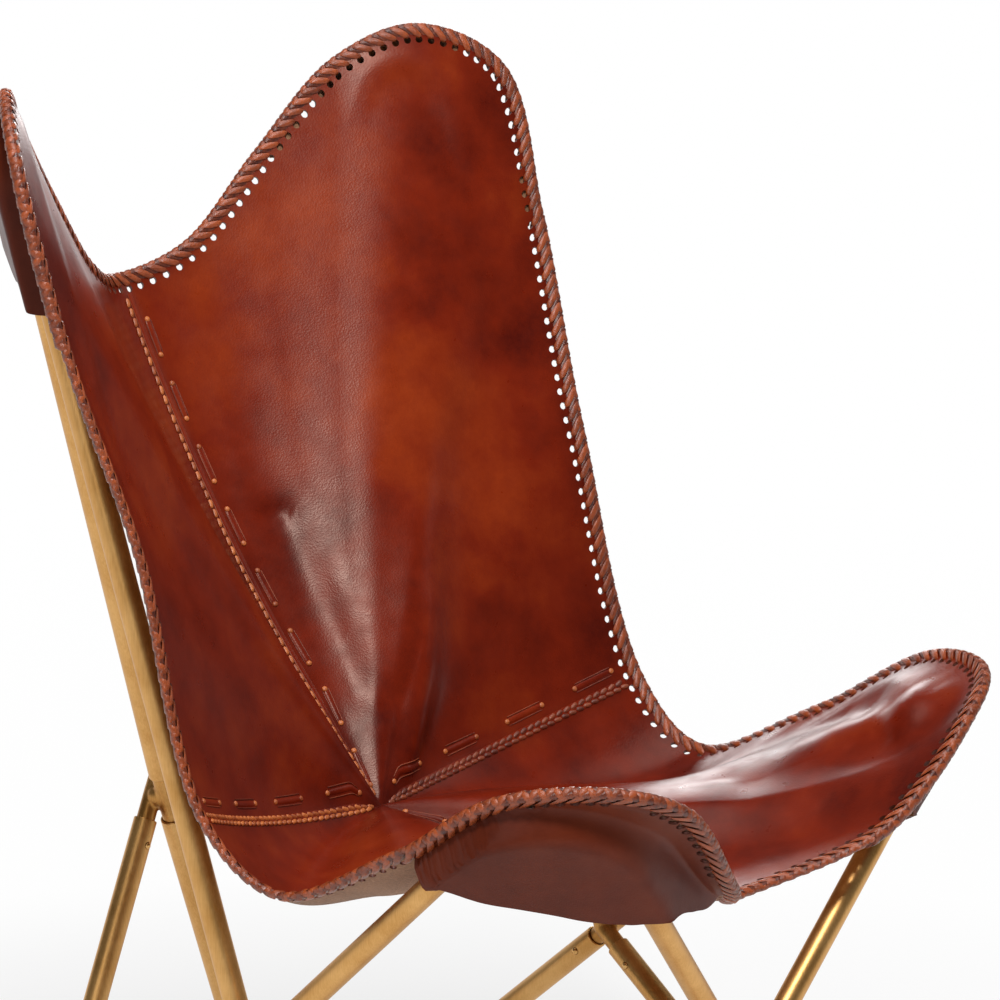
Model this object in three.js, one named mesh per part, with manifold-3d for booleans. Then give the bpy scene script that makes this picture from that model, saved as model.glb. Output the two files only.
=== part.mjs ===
import * as THREE from 'three';
import { mergeVertices } from 'three/addons/utils/BufferGeometryUtils.js';
import Module from 'manifold-3d';

// Sling chair: a leather sling hung by four corner pockets on a knock-down tube frame.
// Millimetres, +Z up, floor at Z = 0. The seat faces -Y and the sitter's left is +X.

const wasm = await Module();
wasm.setup();

// Overall size; the places below are shares of half the width, half the depth and the height
const WIDTH = 677;
const DEPTH = 722;
const HEIGHT = 944;
const spot = (x, y, z) => new THREE.Vector3((x * WIDTH) / 2, (y * DEPTH) / 2, z * HEIGHT);

// Tube frame
const TUBE_D = 20;
const TUBE_WALL = 1.5;
const STUB_PLAY = 0.5;
const STUB_REACH = 60;
const WELD_BITE = 1.5;
const REAR_BEND = 40;
const FRONT_BEND = 72;
const FOOT_BEND = 40;
const SIDES = 12;
const STUB_SIDES = 10;
const KNUCKLE_ROWS = 6;
const BEND_STEP = 18;
const END_CLEAR = 2;
const DRILL_OVER = 2;
const DRILL_SIDES = 12;

// Where the straight arms of the left upper tubes would meet, and where the frame crosses
const REAR_APEX = spot(0.8744, 0.7424, 1.0953);
const FRONT_APEX = spot(0.9217, -0.8726, 0.5169);
const REAR_CROSS = spot(0, 0.8837, 0.3252);
const FRONT_CROSS = spot(0, -0.7645, 0.1843);
const SIDE_CROSS = spot(0.7533, 0.0859, 0.1928);

// Corners of the left floor bars, from the middle of the chair outwards
const REAR_FOOT = [[0.4106, 0.9141], [0.8154, 0.651]];
const FRONT_FOOT = [[0.4254, -0.7756], [0.6056, -0.5485]];

// Snap buttons
const BUTTON_D = 6;
const BUTTON_INSET = 22;
const BUTTON_PROUD = 2;
const BUTTON_PLAY = 0.3;
const BUTTON_LENGTH = 10;
const BUTTON_SPARE = 1;
const BUTTON_SIDES = 8;
const BUTTON_DOME = [[1, 0.7], [0.87, 0.3], [0.5, 0.08], [0.15, 0]];

// Clip-on floor glides
const GLIDE_L = 46;
const GLIDE_SOLE = 3;
const GLIDE_WALL = 2.8;
const GLIDE_GRIP = 4;
const GLIDE_PLAY = 0.4;
const GLIDE_CHAMFER = 1;
const GLIDE_STEPS = 14;

// Sling
const LEATHER = 3;
const POCKET = 2.5;
const SKIN_GAP = 0.5;
const REST_GAP = 2.9;
const POCKET_EASE = 4.4;
const POCKET_SLOPE = 1.8;
const POCKET_FLARE = 12;
const POCKET_LOOSE = 1.2;
const MOUTH_END = 5;
const MOUTH_RISE = 30;
const MOUTH_BELLY = 18;
const POCKET_TUCK = 15;
const ROW_SPACE = 0.07;
const DRAPE_SLOPE = 0.3;
const BAND = 14;
const LACE_W = 10;
const LACE_T = 1.6;
const LEAST_SLANT = 0.4;
const RIM_STATIONS = 4;
const RIM_NUDGE = 0.01;
const HALVINGS = 30;

// Ends of the seams on the left half of the rim, and the seam crossing in the seat
const SEAM_CROSS = spot(0, 0.2382, 0.3506);
const BACK_VALLEY = spot(0, 0.9889, 0.7945);
const SIDE_VALLEY = spot(0.9069, 0.0914, 0.4153);
const FRONT_VALLEY = spot(0, -0.759, 0.3316);
const BACK_RISE = spot(0.192, 0.9307, 0.8167);
const SIDE_FALL = spot(0.9069, 0.2659, 0.6377);
const SIDE_LOW = spot(0.8892, -0.0942, 0.3612);

// Rim points of the two left peaks: across, down and out from the top of their tube,
// as shares of half the width
const REAR_PEAK = [
  [0.384, 0.2541, -0.0857], [0.1891, 0.003, -0.0384], [-0.0236, -0.0975, -0.0207],
  [-0.2511, -0.0118, 0.0089], [-0.3663, 0.3516, 0.0148],
];
const FRONT_PEAK = [
  [-0.3279, 0.1595, -0.0473], [-0.13, -0.0975, -0.0118], [0.1418, -0.1654, 0],
  [0.3072, -0.0709, -0.0245], [0.4638, 0.2659, -0.062],
];

// How far the seams hang away from a straight line
const BACK_SAG = spot(0, 0.0443, -0.0117);
const SIDE_SAG = spot(0, 0.0554, -0.0117);
const FRONT_SAG = spot(0, 0, -0.0212);

// How far the leather of the front lobes hangs, and how much nearer to the rim than to the seat
const LOBE_SAG = spot(0, 0, -0.06);
const LOBE_SKEW = 2.2;

const tubeR = TUBE_D / 2;
const boreR = tubeR - TUBE_WALL;
const stubR = boreR - STUB_PLAY;
const barZ = GLIDE_SOLE + tubeR + GLIDE_PLAY;
const DEG = Math.PI / 180;

const mirror = (p) => new THREE.Vector3(-p.x, p.y, p.z);
const unit = (a, b) => b.clone().sub(a).normalize();
const along = (p, dir, s) => p.clone().addScaledVector(dir, s);
const smooth = (x) => THREE.MathUtils.smoothstep(x, 0, 1);
const softMax = (a, b, k) => Math.max(a, b) + Math.max(k - Math.abs(a - b), 0) ** 2 / (4 * k);

const group = new THREE.Group();
group.name = 'sling_chair';

function finish(color, metalness, roughness) {
  return () => new THREE.MeshStandardMaterial({ color, metalness, roughness });
}
const brass = finish(0xc99a55, 1, 0.35);
const weld = finish(0xb88a4a, 1, 0.45);
const pin = finish(0xd8b070, 1, 0.3);
const nylon = finish(0x2a2624, 0, 0.6);
const hide = finish(0x7d2a14, 0, 0.4);
const darkHide = finish(0x5f2e22, 0, 0.55);
const thong = finish(0xa04a2c, 0, 0.5);

function add(name, geometry, material) {
  const mesh = new THREE.Mesh(geometry, material());
  mesh.name = name;
  group.add(mesh);
}

function fromIndexed(points, triangles) {
  const geometry = new THREE.BufferGeometry();
  const flat = points.flatMap((p) => [p.x, p.y, p.z]);
  geometry.setAttribute('position', new THREE.Float32BufferAttribute(flat, 3));
  geometry.setIndex(triangles.flat());
  geometry.computeVertexNormals();
  return geometry;
}

function toSolid(geometry) {
  const bare = new THREE.BufferGeometry();
  bare.setAttribute('position', geometry.getAttribute('position'));
  bare.setIndex(geometry.getIndex());
  const welded = mergeVertices(bare, 1e-4);
  return new wasm.Manifold(new wasm.Mesh({
    numProp: 3,
    vertProperties: new Float32Array(welded.getAttribute('position').array),
    triVerts: new Uint32Array(welded.getIndex().array),
  }));
}

function toGeometry(solid) {
  const mesh = solid.getMesh();
  const geometry = new THREE.BufferGeometry();
  geometry.setAttribute('position', new THREE.BufferAttribute(mesh.vertProperties, 3));
  geometry.setIndex(new THREE.BufferAttribute(mesh.triVerts, 1));
  geometry.computeVertexNormals();
  return geometry;
}

// A rod between two points, and a round pin turned about its own axis
function rod(a, b, radius, sides) {
  const geometry = new THREE.CylinderGeometry(radius, radius, a.distanceTo(b), sides);
  const turn = new THREE.Quaternion().setFromUnitVectors(new THREE.Vector3(0, 1, 0), unit(a, b));
  geometry.applyQuaternion(turn);
  return geometry.translate(...along(a, unit(a, b), a.distanceTo(b) / 2).toArray());
}

function turned(profile, sides, origin, axis) {
  const across = new THREE.Vector3(1, 0, 0);
  const turn = new THREE.Quaternion().setFromUnitVectors(across, axis);
  const place = (r, h, k) => {
    const angle = (2 * Math.PI * k) / sides;
    return new THREE.Vector3(h, r * Math.cos(angle), r * Math.sin(angle)).applyQuaternion(turn).add(origin);
  };
  const last = profile.length - 1;
  const points = [place(0, profile[0][1], 0), place(0, profile[last][1], 0)];
  profile.forEach(([r, h]) => {
    for (let k = 0; k < sides; k++) points.push(place(r, h, k));
  });
  const at = (j, k) => 2 + j * sides + (k % sides);
  const triangles = [];
  for (let k = 0; k < sides; k++) {
    triangles.push([0, at(0, k + 1), at(0, k)], [1, at(last, k), at(last, k + 1)]);
    for (let j = 0; j < last; j++) {
      triangles.push([at(j, k), at(j, k + 1), at(j + 1, k + 1)], [at(j, k), at(j + 1, k + 1), at(j + 1, k)]);
    }
  }
  return fromIndexed(points, triangles);
}

// A centre line that keeps rings only at its ends and in its bends
class Spine extends THREE.Curve {
  constructor(points) {
    super();
    this.points = points;
  }

  station(u) {
    return Math.round(u * (this.points.length - 1));
  }

  getPoint(u) {
    return this.points[this.station(u)].clone();
  }

  getPointAt(u) {
    return this.getPoint(u);
  }

  getTangent(u) {
    const i = this.station(u);
    const a = this.points[Math.max(i - 1, 0)];
    const b = this.points[Math.min(i + 1, this.points.length - 1)];
    const here = this.points[i];
    const sum = new THREE.Vector3();
    if (i > 0) sum.add(unit(a, here));
    if (i < this.points.length - 1) sum.add(unit(here, b));
    return sum.normalize();
  }

  getTangentAt(u) {
    return this.getTangent(u);
  }
}

function bend(before, corner, after, radius) {
  const a = unit(corner, before);
  const b = unit(corner, after);
  const half = a.angleTo(b) / 2;
  const centre = along(corner, a.clone().add(b).normalize(), radius / Math.sin(half));
  const arm = along(corner, a, radius / Math.tan(half)).sub(centre);
  const axis = a.clone().cross(b).normalize();
  const sweep = Math.PI - 2 * half;
  const steps = Math.ceil(sweep / (BEND_STEP * DEG));
  return Array.from({ length: steps + 1 }, (_, k) =>
    arm.clone().applyAxisAngle(axis, (-sweep * k) / steps).add(centre));
}

function ring(radius) {
  return Array.from({ length: SIDES }, (_, k) => {
    const angle = (2 * Math.PI * k) / SIDES;
    return new THREE.Vector2(radius * Math.cos(angle), radius * Math.sin(angle));
  });
}

function tube(points) {
  const shape = new THREE.Shape(ring(tubeR));
  shape.holes.push(new THREE.Path(ring(boreR / Math.cos(Math.PI / SIDES))));
  const path = new Spine(points);
  return new THREE.ExtrudeGeometry(shape, {
    steps: points.length - 1, extrudePath: path, bevelEnabled: false,
  });
}

// Four connectors, each of two crossing rods: the inner one at level -1, the outer one at +1
const rodShift = stubR - WELD_BITE / 2;
const crossings = {
  rear: { at: REAR_CROSS, out: new THREE.Vector3(0, 1, 0) },
  front: { at: FRONT_CROSS, out: new THREE.Vector3(0, -1, 0) },
  left: { at: SIDE_CROSS, out: new THREE.Vector3(1, 0, 0) },
  right: { at: mirror(SIDE_CROSS), out: new THREE.Vector3(-1, 0, 0) },
};
const seat = (name, level) => along(crossings[name].at, crossings[name].out, level * rodShift);

// Tube ends stop where neighbouring tubes on the narrowest crossing would still clear each other
const narrow = unit(REAR_CROSS, REAR_APEX).angleTo(unit(REAR_CROSS, mirror(REAR_APEX)));
const sideways = Math.sqrt(Math.max((TUBE_D + END_CLEAR) ** 2 - (2 * rodShift) ** 2, TUBE_D));
const rimDistance = Math.max(sideways / (2 * Math.sin(narrow / 2)), tubeR + END_CLEAR);

const floorPoint = ([x, y], flip) => spot(flip ? -x : x, y, 0).setZ(barZ);
const tubes = [
  { name: 'upper_tube_rear_left', corners: [REAR_APEX], radius: REAR_BEND,
    ends: [['rear', 1, 'upper_left'], ['left', -1, 'upper_rear']] },
  { name: 'upper_tube_rear_right', corners: [mirror(REAR_APEX)], radius: REAR_BEND,
    ends: [['rear', -1, 'upper_right'], ['right', -1, 'upper_rear']] },
  { name: 'upper_tube_front_left', corners: [FRONT_APEX], radius: FRONT_BEND,
    ends: [['front', 1, 'upper_left'], ['left', 1, 'upper_front']] },
  { name: 'upper_tube_front_right', corners: [mirror(FRONT_APEX)], radius: FRONT_BEND,
    ends: [['front', -1, 'upper_right'], ['right', 1, 'upper_front']] },
  { name: 'leg_rear_left', corners: REAR_FOOT.map((p) => floorPoint(p, false)), radius: FOOT_BEND,
    ends: [['rear', -1, 'lower_left'], ['left', 1, 'lower_rear']], glide: 'glide_rear_left' },
  { name: 'leg_rear_right', corners: REAR_FOOT.map((p) => floorPoint(p, true)), radius: FOOT_BEND,
    ends: [['rear', 1, 'lower_right'], ['right', 1, 'lower_rear']], glide: 'glide_rear_right' },
  { name: 'leg_front_left', corners: FRONT_FOOT.map((p) => floorPoint(p, false)), radius: FOOT_BEND,
    ends: [['front', -1, 'lower_left'], ['left', -1, 'lower_front']], glide: 'glide_front_left' },
  { name: 'leg_front_right', corners: FRONT_FOOT.map((p) => floorPoint(p, true)), radius: FOOT_BEND,
    ends: [['front', 1, 'lower_right'], ['right', -1, 'lower_front']], glide: 'glide_front_right' },
];

// Buttons face the middle of the chair; the dome stands proud of the tube, the shank sits in the stub
const shank = BUTTON_D / 2;
const domeTop = tubeR + BUTTON_PROUD;
const shankEnd = domeTop - BUTTON_LENGTH;
const holeFloor = shankEnd - BUTTON_PROUD - TUBE_WALL - BUTTON_SPARE;
const buttonProfile = [
  [shank, shankEnd], ...BUTTON_DOME.map(([r, drop]) => [shank * r, domeTop - shank * drop]),
];
const drillOut = (centre, facing, low, high) =>
  toSolid(rod(along(centre, facing, low), along(centre, facing, high), shank + BUTTON_PLAY, DRILL_SIDES));

const arms = { rear: [], front: [], left: [], right: [] };
tubes.forEach((item) => {
  const from = item.ends.map(([crossing, level]) => seat(crossing, level));
  const dirs = [unit(from[0], item.corners[0]), unit(from[1], item.corners[item.corners.length - 1])];
  const starts = from.map((p, i) => along(p, dirs[i], rimDistance));
  const stops = [starts[0], ...item.corners, starts[1]];
  const path = [starts[0]];
  for (let i = 1; i < stops.length - 1; i++) {
    path.push(...bend(stops[i - 1], stops[i], stops[i + 1], item.radius));
  }
  path.push(starts[1]);
  let body = toSolid(tube(path));
  item.ends.forEach(([crossing, , label], i) => {
    const inward = crossings[crossing].out.clone().negate();
    const facing = inward.addScaledVector(dirs[i], -inward.dot(dirs[i])).normalize();
    const centre = along(from[i], dirs[i], rimDistance + BUTTON_INSET);
    body = body.subtract(drillOut(centre, facing, boreR - DRILL_OVER, tubeR + DRILL_OVER));
    arms[crossing].push({ root: from[i], dir: dirs[i], centre, facing });
    add(`button_${crossing}_${label}`, turned(buttonProfile, BUTTON_SIDES, centre, facing), pin);
  });
  add(item.name, toGeometry(body), brass);
  if (item.glide) addGlide(item.glide, item.corners);
});

function addGlide(name, [a, b]) {
  const hold = tubeR + GLIDE_PLAY;
  const half = hold + GLIDE_WALL;
  const lip = Math.asin(GLIDE_GRIP / hold);
  const sole = half - GLIDE_CHAMFER;
  const outline = [
    [-half, GLIDE_CHAMFER], [-sole, 0], [sole, 0], [half, GLIDE_CHAMFER], [half, barZ + GLIDE_GRIP],
  ];
  for (let k = 0; k <= GLIDE_STEPS; k++) {
    const angle = lip - (k / GLIDE_STEPS) * (Math.PI + 2 * lip);
    outline.push([hold * Math.cos(angle), barZ + hold * Math.sin(angle)]);
  }
  outline.push([-half, barZ + GLIDE_GRIP]);
  const shape = new THREE.Shape(outline.map(([x, y]) => new THREE.Vector2(x, y)));
  const geometry = new THREE.ExtrudeGeometry(shape, { depth: GLIDE_L, bevelEnabled: false });
  const run = unit(a, b);
  const up = new THREE.Vector3(0, 0, 1);
  const middle = along(a, run, a.distanceTo(b) / 2 - GLIDE_L / 2).setZ(0);
  geometry.applyMatrix4(new THREE.Matrix4().makeBasis(up.clone().cross(run), up, run));
  add(name, geometry.translate(...middle.toArray()), nylon);
}

Object.entries(arms).forEach(([name, list]) => {
  let body = null;
  list.forEach(({ root, dir }) => {
    const stub = toSolid(rod(root, along(root, dir, rimDistance + STUB_REACH), stubR, STUB_SIDES));
    const ball = new THREE.SphereGeometry(stubR, STUB_SIDES, KNUCKLE_ROWS);
    const arm = stub.add(toSolid(ball.translate(...root.toArray())));
    body = body ? body.add(arm) : arm;
  });
  list.forEach(({ centre, facing }) => {
    body = body.subtract(drillOut(centre, facing, holeFloor, stubR + DRILL_OVER));
  });
  add(`connector_${name}`, toGeometry(body), weld);
});

// Each upper tube carries its own plane: across towards its first arm, down between the arms, and out
function planeOf(apex, first, second, radius) {
  const a = unit(apex, first);
  const b = unit(apex, second);
  const half = a.angleTo(b) / 2;
  const down = a.clone().add(b).normalize();
  const across = a.clone().sub(b).normalize();
  const out = down.clone().cross(across);
  if (out.x < 0) out.negate();
  const top = along(apex, down, radius * (1 / Math.sin(half) - 1));
  return { top, across, down, out, radius, half };
}
const rearPlane = planeOf(REAR_APEX, REAR_CROSS, SIDE_CROSS, REAR_BEND);
const frontPlane = planeOf(FRONT_APEX, FRONT_CROSS, SIDE_CROSS, FRONT_BEND);

function local(plane, p) {
  const q = p.clone().sub(plane.top);
  return [q.dot(plane.across), q.dot(plane.down), q.dot(plane.out)];
}

function world(plane, shares) {
  const [x, y, z] = shares.map((share) => (share * WIDTH) / 2);
  return along(along(along(plane.top, plane.across, x), plane.down, y), plane.out, z);
}

// Distance of a point outside the bent centre line, negative between the arms
function outside({ radius, half }, x, y) {
  const tx = radius * Math.cos(half);
  const ty = radius * (1 - Math.sin(half));
  const dx = Math.abs(x) - tx;
  if (dx * Math.sin(half) + (y - ty) * Math.cos(half) > 0) {
    return dx * Math.cos(half) - (y - ty) * Math.sin(half);
  }
  return Math.hypot(x, y - radius) - radius;
}

// The rim runs from the back valley over both left peaks to the front valley, then back mirrored
const leftRim = [
  BACK_VALLEY, BACK_RISE, ...REAR_PEAK.map((p) => world(rearPlane, p)), SIDE_FALL, SIDE_VALLEY,
  SIDE_LOW, ...FRONT_PEAK.map((p) => world(frontPlane, p)), FRONT_VALLEY,
];
const RIM_END = leftRim.length - 1;
const RIM_SIDE = leftRim.indexOf(SIDE_VALLEY);
const REAR_START = leftRim.indexOf(BACK_RISE) + 1;
const REAR_STOP = leftRim.indexOf(SIDE_FALL) - 1;
const FRONT_START = leftRim.indexOf(SIDE_LOW) + 1;
const FRONT_STOP = RIM_END - 1;
const rimCurve = new THREE.CatmullRomCurve3(
  [...leftRim, ...leftRim.slice(1, -1).reverse().map(mirror)], true, 'centripetal');
const rim = (t) => rimCurve.getPoint(t / (2 * RIM_END));

const restDepth = tubeR + LEATHER / 2 + REST_GAP;

// Sling surface: t runs along the left rim, r from the seam crossing out to the rim
function surface(t, r) {
  const rear = t <= RIM_SIDE;
  const w = smooth(rear ? t / RIM_SIDE : (RIM_END - t) / (RIM_END - RIM_SIDE));
  const sag = (rear ? BACK_SAG : FRONT_SAG).clone().lerp(SIDE_SAG, w);
  const p = SEAM_CROSS.clone().lerp(rim(t), r).addScaledVector(sag, Math.sin(Math.PI * r));
  if (!rear) p.addScaledVector(LOBE_SAG, 4 * w * (1 - w) * Math.sin(Math.PI * r ** LOBE_SKEW));
  const plane = rear ? rearPlane : frontPlane;
  const [x, y, z] = local(plane, p);
  const gap = Math.abs(outside(plane, x, y));
  const limit = -restDepth + DRAPE_SLOPE * Math.max(gap - tubeR / 2, 0);
  return along(p, plane.out, -softMax(-z, -limit, tubeR) - z);
}

// r at a given distance in from the rim, measured square to it
function inset(t, distance) {
  const ray = surface(t, 1).sub(surface(t, 1 - RIM_NUDGE)).divideScalar(RIM_NUDGE);
  const run = unit(rim(t - RIM_NUDGE), rim(t + RIM_NUDGE));
  const slant = Math.max(Math.sin(ray.angleTo(run)), LEAST_SLANT);
  return 1 - distance / (ray.length() * slant);
}

// Triangles between two rows of stations that may differ in number
function stitch(rowA, rowB, triangles) {
  let i = 0;
  let j = 0;
  while (i < rowA.length - 1 || j < rowB.length - 1) {
    const stepA = i < rowA.length - 1 ? rowA[i + 1].t : Infinity;
    const stepB = j < rowB.length - 1 ? rowB[j + 1].t : Infinity;
    if (stepA <= stepB) {
      triangles.push([rowA[i].id, rowB[j].id, rowA[i + 1].id]);
      i++;
    } else {
      triangles.push([rowA[i].id, rowB[j].id, rowB[j + 1].id]);
      j++;
    }
  }
}

// Rows of a panel from the rim inwards: place, and stations to each step along the rim
const ROWS = [
  [0.95, 4], [0.915, 4], [0.885, 4], [0.85, 4], [0.81, 4], [0.74, 4], [0.6, 2], [0.46, 2], [0.33, 1],
  [0.2, 1], [0.09, 0.5],
];

function panelRows(t0, t1) {
  const points = [];
  const row = (perStep, rAt) => {
    const count = Math.max(Math.round((t1 - t0) * perStep), 1);
    return Array.from({ length: count + 1 }, (_, k) => {
      const t = t0 + ((t1 - t0) * k) / count;
      points.push(surface(t, rAt(t)));
      return { t, id: points.length - 1 };
    });
  };
  const rows = [row(RIM_STATIONS, () => 1), row(RIM_STATIONS, (t) => inset(t, BAND))];
  ROWS.forEach(([r, perStep]) => rows.push(row(perStep, () => r)));
  points.push(SEAM_CROSS.clone());
  rows.push([{ t: t1, id: points.length - 1 }]);
  const triangles = [];
  for (let k = 0; k < rows.length - 1; k++) stitch(rows[k], rows[k + 1], triangles);
  return { points, rows, triangles };
}

// Vertex normals shared by both left panels, so that they meet squarely along their seams
const key = (p) => `${Math.round(p.x * 100)},${Math.round(p.y * 100)},${Math.round(p.z * 100)}`;
function sharedNormals(patches) {
  const sums = new Map();
  patches.forEach(({ points, triangles }) => triangles.forEach((tri) => {
    const [a, b, c] = tri.map((i) => points[i]);
    const normal = b.clone().sub(a).cross(c.clone().sub(a));
    tri.forEach((i) => {
      const id = key(points[i]);
      sums.set(id, (sums.get(id) ?? new THREE.Vector3()).add(normal));
    });
  }));
  return (p) => {
    const normal = sums.get(key(p)).clone();
    if (Math.abs(p.x) < 0.01) normal.x = 0;
    return normal.normalize();
  };
}

// A closed shell around a patch, with its boundary given as one loop of vertex numbers
function shell(inner, outer, triangles, loop) {
  const n = inner.length;
  const faces = triangles.map((tri) => [...tri]);
  triangles.forEach(([a, b, c]) => faces.push([n + a, n + c, n + b]));
  loop.forEach((a, k) => {
    const b = loop[(k + 1) % loop.length];
    faces.push([a, n + a, n + b], [a, n + b, b]);
  });
  return { points: [...inner, ...outer], faces };
}

// Puts a left-hand solid in place together with its mirrored right-hand twin
function addPair(name, { points, faces }, material) {
  add(`${name}_left`, fromIndexed(points, faces), material);
  const flipped = faces.map(([a, b, c]) => [a, c, b]);
  add(`${name}_right`, fromIndexed(points.map(mirror), flipped), material);
}

const backPanel = panelRows(0, RIM_SIDE);
const seatPanel = panelRows(RIM_SIDE, RIM_END);
const normalAt = sharedNormals([backPanel, seatPanel]);

function addPanel(name, { points, rows, triangles }) {
  const normals = points.map(normalAt);
  const loop = [...rows[0].map((s) => s.id)];
  for (let k = 1; k < rows.length; k++) loop.push(rows[k][rows[k].length - 1].id);
  for (let k = rows.length - 2; k > 0; k--) loop.push(rows[k][0].id);
  const shifted = points.map((p) => p.clone());
  rows.forEach((row) => {
    if (row.length === 1) return;
    const ids = row.map((s) => s.id);
    [[ids[0], ids[1]], [ids.at(-1), ids.at(-2)]].forEach(([a, b]) => {
      shifted[a].addScaledVector(unit(points[a], points[b]), SKIN_GAP / 2);
    });
  });
  const nearTip = rows[rows.length - 2];
  const tip = rows[rows.length - 1][0].id;
  shifted[tip].addScaledVector(unit(points[tip], points[nearTip[nearTip.length >> 1].id]), SKIN_GAP);
  const inner = shifted.map((p, i) => along(p, normals[i], LEATHER / 2));
  const outer = shifted.map((p, i) => along(p, normals[i], -LEATHER / 2));
  addPair(name, shell(inner, outer, triangles, loop.reverse()), hide);
}
addPanel('panel_back', backPanel);
addPanel('panel_seat', seatPanel);

// Rim stations with the leather strip behind them, for the pockets and the lacing
function stations(t0, t1) {
  return Array.from({ length: Math.round((t1 - t0) * RIM_STATIONS) + 1 }, (_, k) => {
    const t = t0 + k / RIM_STATIONS;
    const edge = surface(Math.abs(t), 1);
    const band = surface(Math.abs(t), inset(Math.abs(t), BAND));
    const normals = [edge, band].map(normalAt);
    const side = (p) => (t < 0 ? mirror(p) : p);
    return { t, edge: side(edge), band: side(band), normals: normals.map(side) };
  });
}

// Where a falling measure first reaches zero on the way in from r = start
function crossing(start, measure) {
  let low = 0;
  let high = start;
  for (let k = 0; k < HALVINGS; k++) {
    const r = (high + low) / 2;
    if (measure(r) > 0) high = r;
    else low = r;
  }
  return high;
}

const shoulder = tubeR + POCKET_EASE;
const slopeMarks = [shoulder + POCKET_FLARE, shoulder, -tubeR];
const pocketLift = LEATHER / 2 + SKIN_GAP + POCKET / 2;
const pocketHeight = tubeR + POCKET / 2 + REST_GAP + POCKET_EASE;

function addPocket(name, plane, t0, t1) {
  const list = stations(t0, t1);
  const [mouthA, mouthB] = [list[0], list[list.length - 1]]
    .sort((a, b) => Math.abs(a.t - RIM_SIDE) - Math.abs(b.t - RIM_SIDE))
    .map(({ edge }) => local(plane, edge));
  const above = (t, r) => {
    const [x, y] = local(plane, surface(t, r));
    const f = (x - mouthA[0]) / (mouthB[0] - mouthA[0]);
    const bow = 4 * f * (1 - f) * MOUTH_BELLY - (1 - f) ** 2 * MOUTH_RISE;
    return THREE.MathUtils.lerp(mouthA[1], mouthB[1], f) + bow - y;
  };
  const points = [];
  const rows = Array.from({ length: slopeMarks.length + 4 }, () => []);
  list.forEach(({ t, edge, band, normals }) => {
    const put = (k, p) => rows[k].push({ t, id: points.push(p) - 1 });
    put(0, along(edge, normals[0], -pocketLift));
    put(1, along(band, normals[1], -pocketLift));
    const start = inset(t, BAND);
    const mouth = Math.min(crossing(start, (r) => above(t, r)), inset(t, BAND + MOUTH_END));
    const tuck = POCKET_TUCK * (1 - smooth(2 * Math.min(t - t0, t1 - t)));
    const clear = (r) => outside(plane, ...local(plane, surface(t, r)));
    const share = (mark) => {
      if (clear(start) < mark) return 0;
      if (clear(mouth) > mark) return 1;
      return (start - crossing(start, (r) => clear(r) - mark)) / (start - mouth);
    };
    let spot = 0;
    const spots = slopeMarks.map((mark, k) => {
      spot = THREE.MathUtils.clamp(share(mark), spot + ROW_SPACE, 1 - ROW_SPACE * (rows.length - 3 - k));
      return spot;
    });
    const marks = [...spots, (spot + 1) / 2, 1].map((f) => start + (mouth - start) * f);
    marks.forEach((r, k) => {
      const p = surface(t, r);
      const [x, y, z] = local(plane, p);
      const reach = pocketHeight - tuck - POCKET_SLOPE * Math.max(outside(plane, x, y) - shoulder, 0);
      put(k + 2, along(p, plane.out, softMax(z + pocketLift * POCKET_LOOSE, reach, POCKET) - z));
    });
  });
  const triangles = [];
  for (let k = 0; k < rows.length - 1; k++) stitch(rows[k], rows[k + 1], triangles);
  const own = sharedNormals([{ points, triangles }]);
  const normals = points.map((p) => own(p));
  list.forEach((s, i) => s.normals.forEach((n, k) => normals[rows[k][i].id].copy(n)));
  const last = rows.length - 1;
  const loop = rows[0].map((s) => s.id);
  for (let k = 1; k < last; k++) loop.push(rows[k][list.length - 1].id);
  loop.push(...rows[last].map((s) => s.id).reverse());
  for (let k = last - 1; k > 0; k--) loop.push(rows[k][0].id);
  const inner = points.map((p, i) => along(p, normals[i], POCKET / 2));
  const outer = points.map((p, i) => along(p, normals[i], -POCKET / 2));
  addPair(name, shell(inner, outer, triangles, loop.reverse()), darkHide);
}
addPocket('pocket_rear', rearPlane, REAR_START, REAR_STOP);
addPocket('pocket_front', frontPlane, FRONT_START, FRONT_STOP);

// Laced border: a folded strip around the edge, thicker where it also takes in a pocket
function lacing(list, overPocket, trim) {
  const top = LEATHER / 2 + SKIN_GAP;
  const bottom = -top - (overPocket ? POCKET + SKIN_GAP : 0);
  const section = [
    [LACE_W, top], [-SKIN_GAP, top], [-SKIN_GAP, bottom], [LACE_W, bottom], [LACE_W, bottom - LACE_T],
    [-SKIN_GAP - LACE_T, bottom - LACE_T], [-SKIN_GAP - LACE_T, top + LACE_T], [LACE_W, top + LACE_T],
  ];
  const rings = list.map(({ edge, band, normals }) => section.map(([x, h]) => {
    const f = x / edge.distanceTo(band);
    const base = edge.clone().lerp(band, f);
    return along(base, normals[0].clone().lerp(normals[1], Math.max(f, 0)), h);
  }));
  if (trim) {
    const end = rings.length - 1;
    [[0, 1], [end, end - 1]].forEach(([a, b]) => {
      rings[a].forEach((p, k) => p.addScaledVector(unit(p, rings[b][k]), 2 * SKIN_GAP));
    });
  }
  const n = section.length;
  const points = rings.flat();
  const faces = [];
  for (let i = 0; i < rings.length - 1; i++) {
    for (let k = 0; k < n; k++) {
      const a = i * n + k;
      const b = i * n + ((k + 1) % n);
      faces.push([a, b, b + n], [a, b + n, a + n]);
    }
  }
  const cap = [[0, 1, 6], [0, 6, 7], [1, 2, 5], [1, 5, 6], [2, 3, 4], [2, 4, 5]];
  const shift = points.length - n;
  cap.forEach(([a, b, c]) => faces.push([a, c, b], [shift + a, shift + b, shift + c]));
  return { points, faces };
}
addPair('lacing_peak_rear', lacing(stations(REAR_START, REAR_STOP), true, false), thong);
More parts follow.
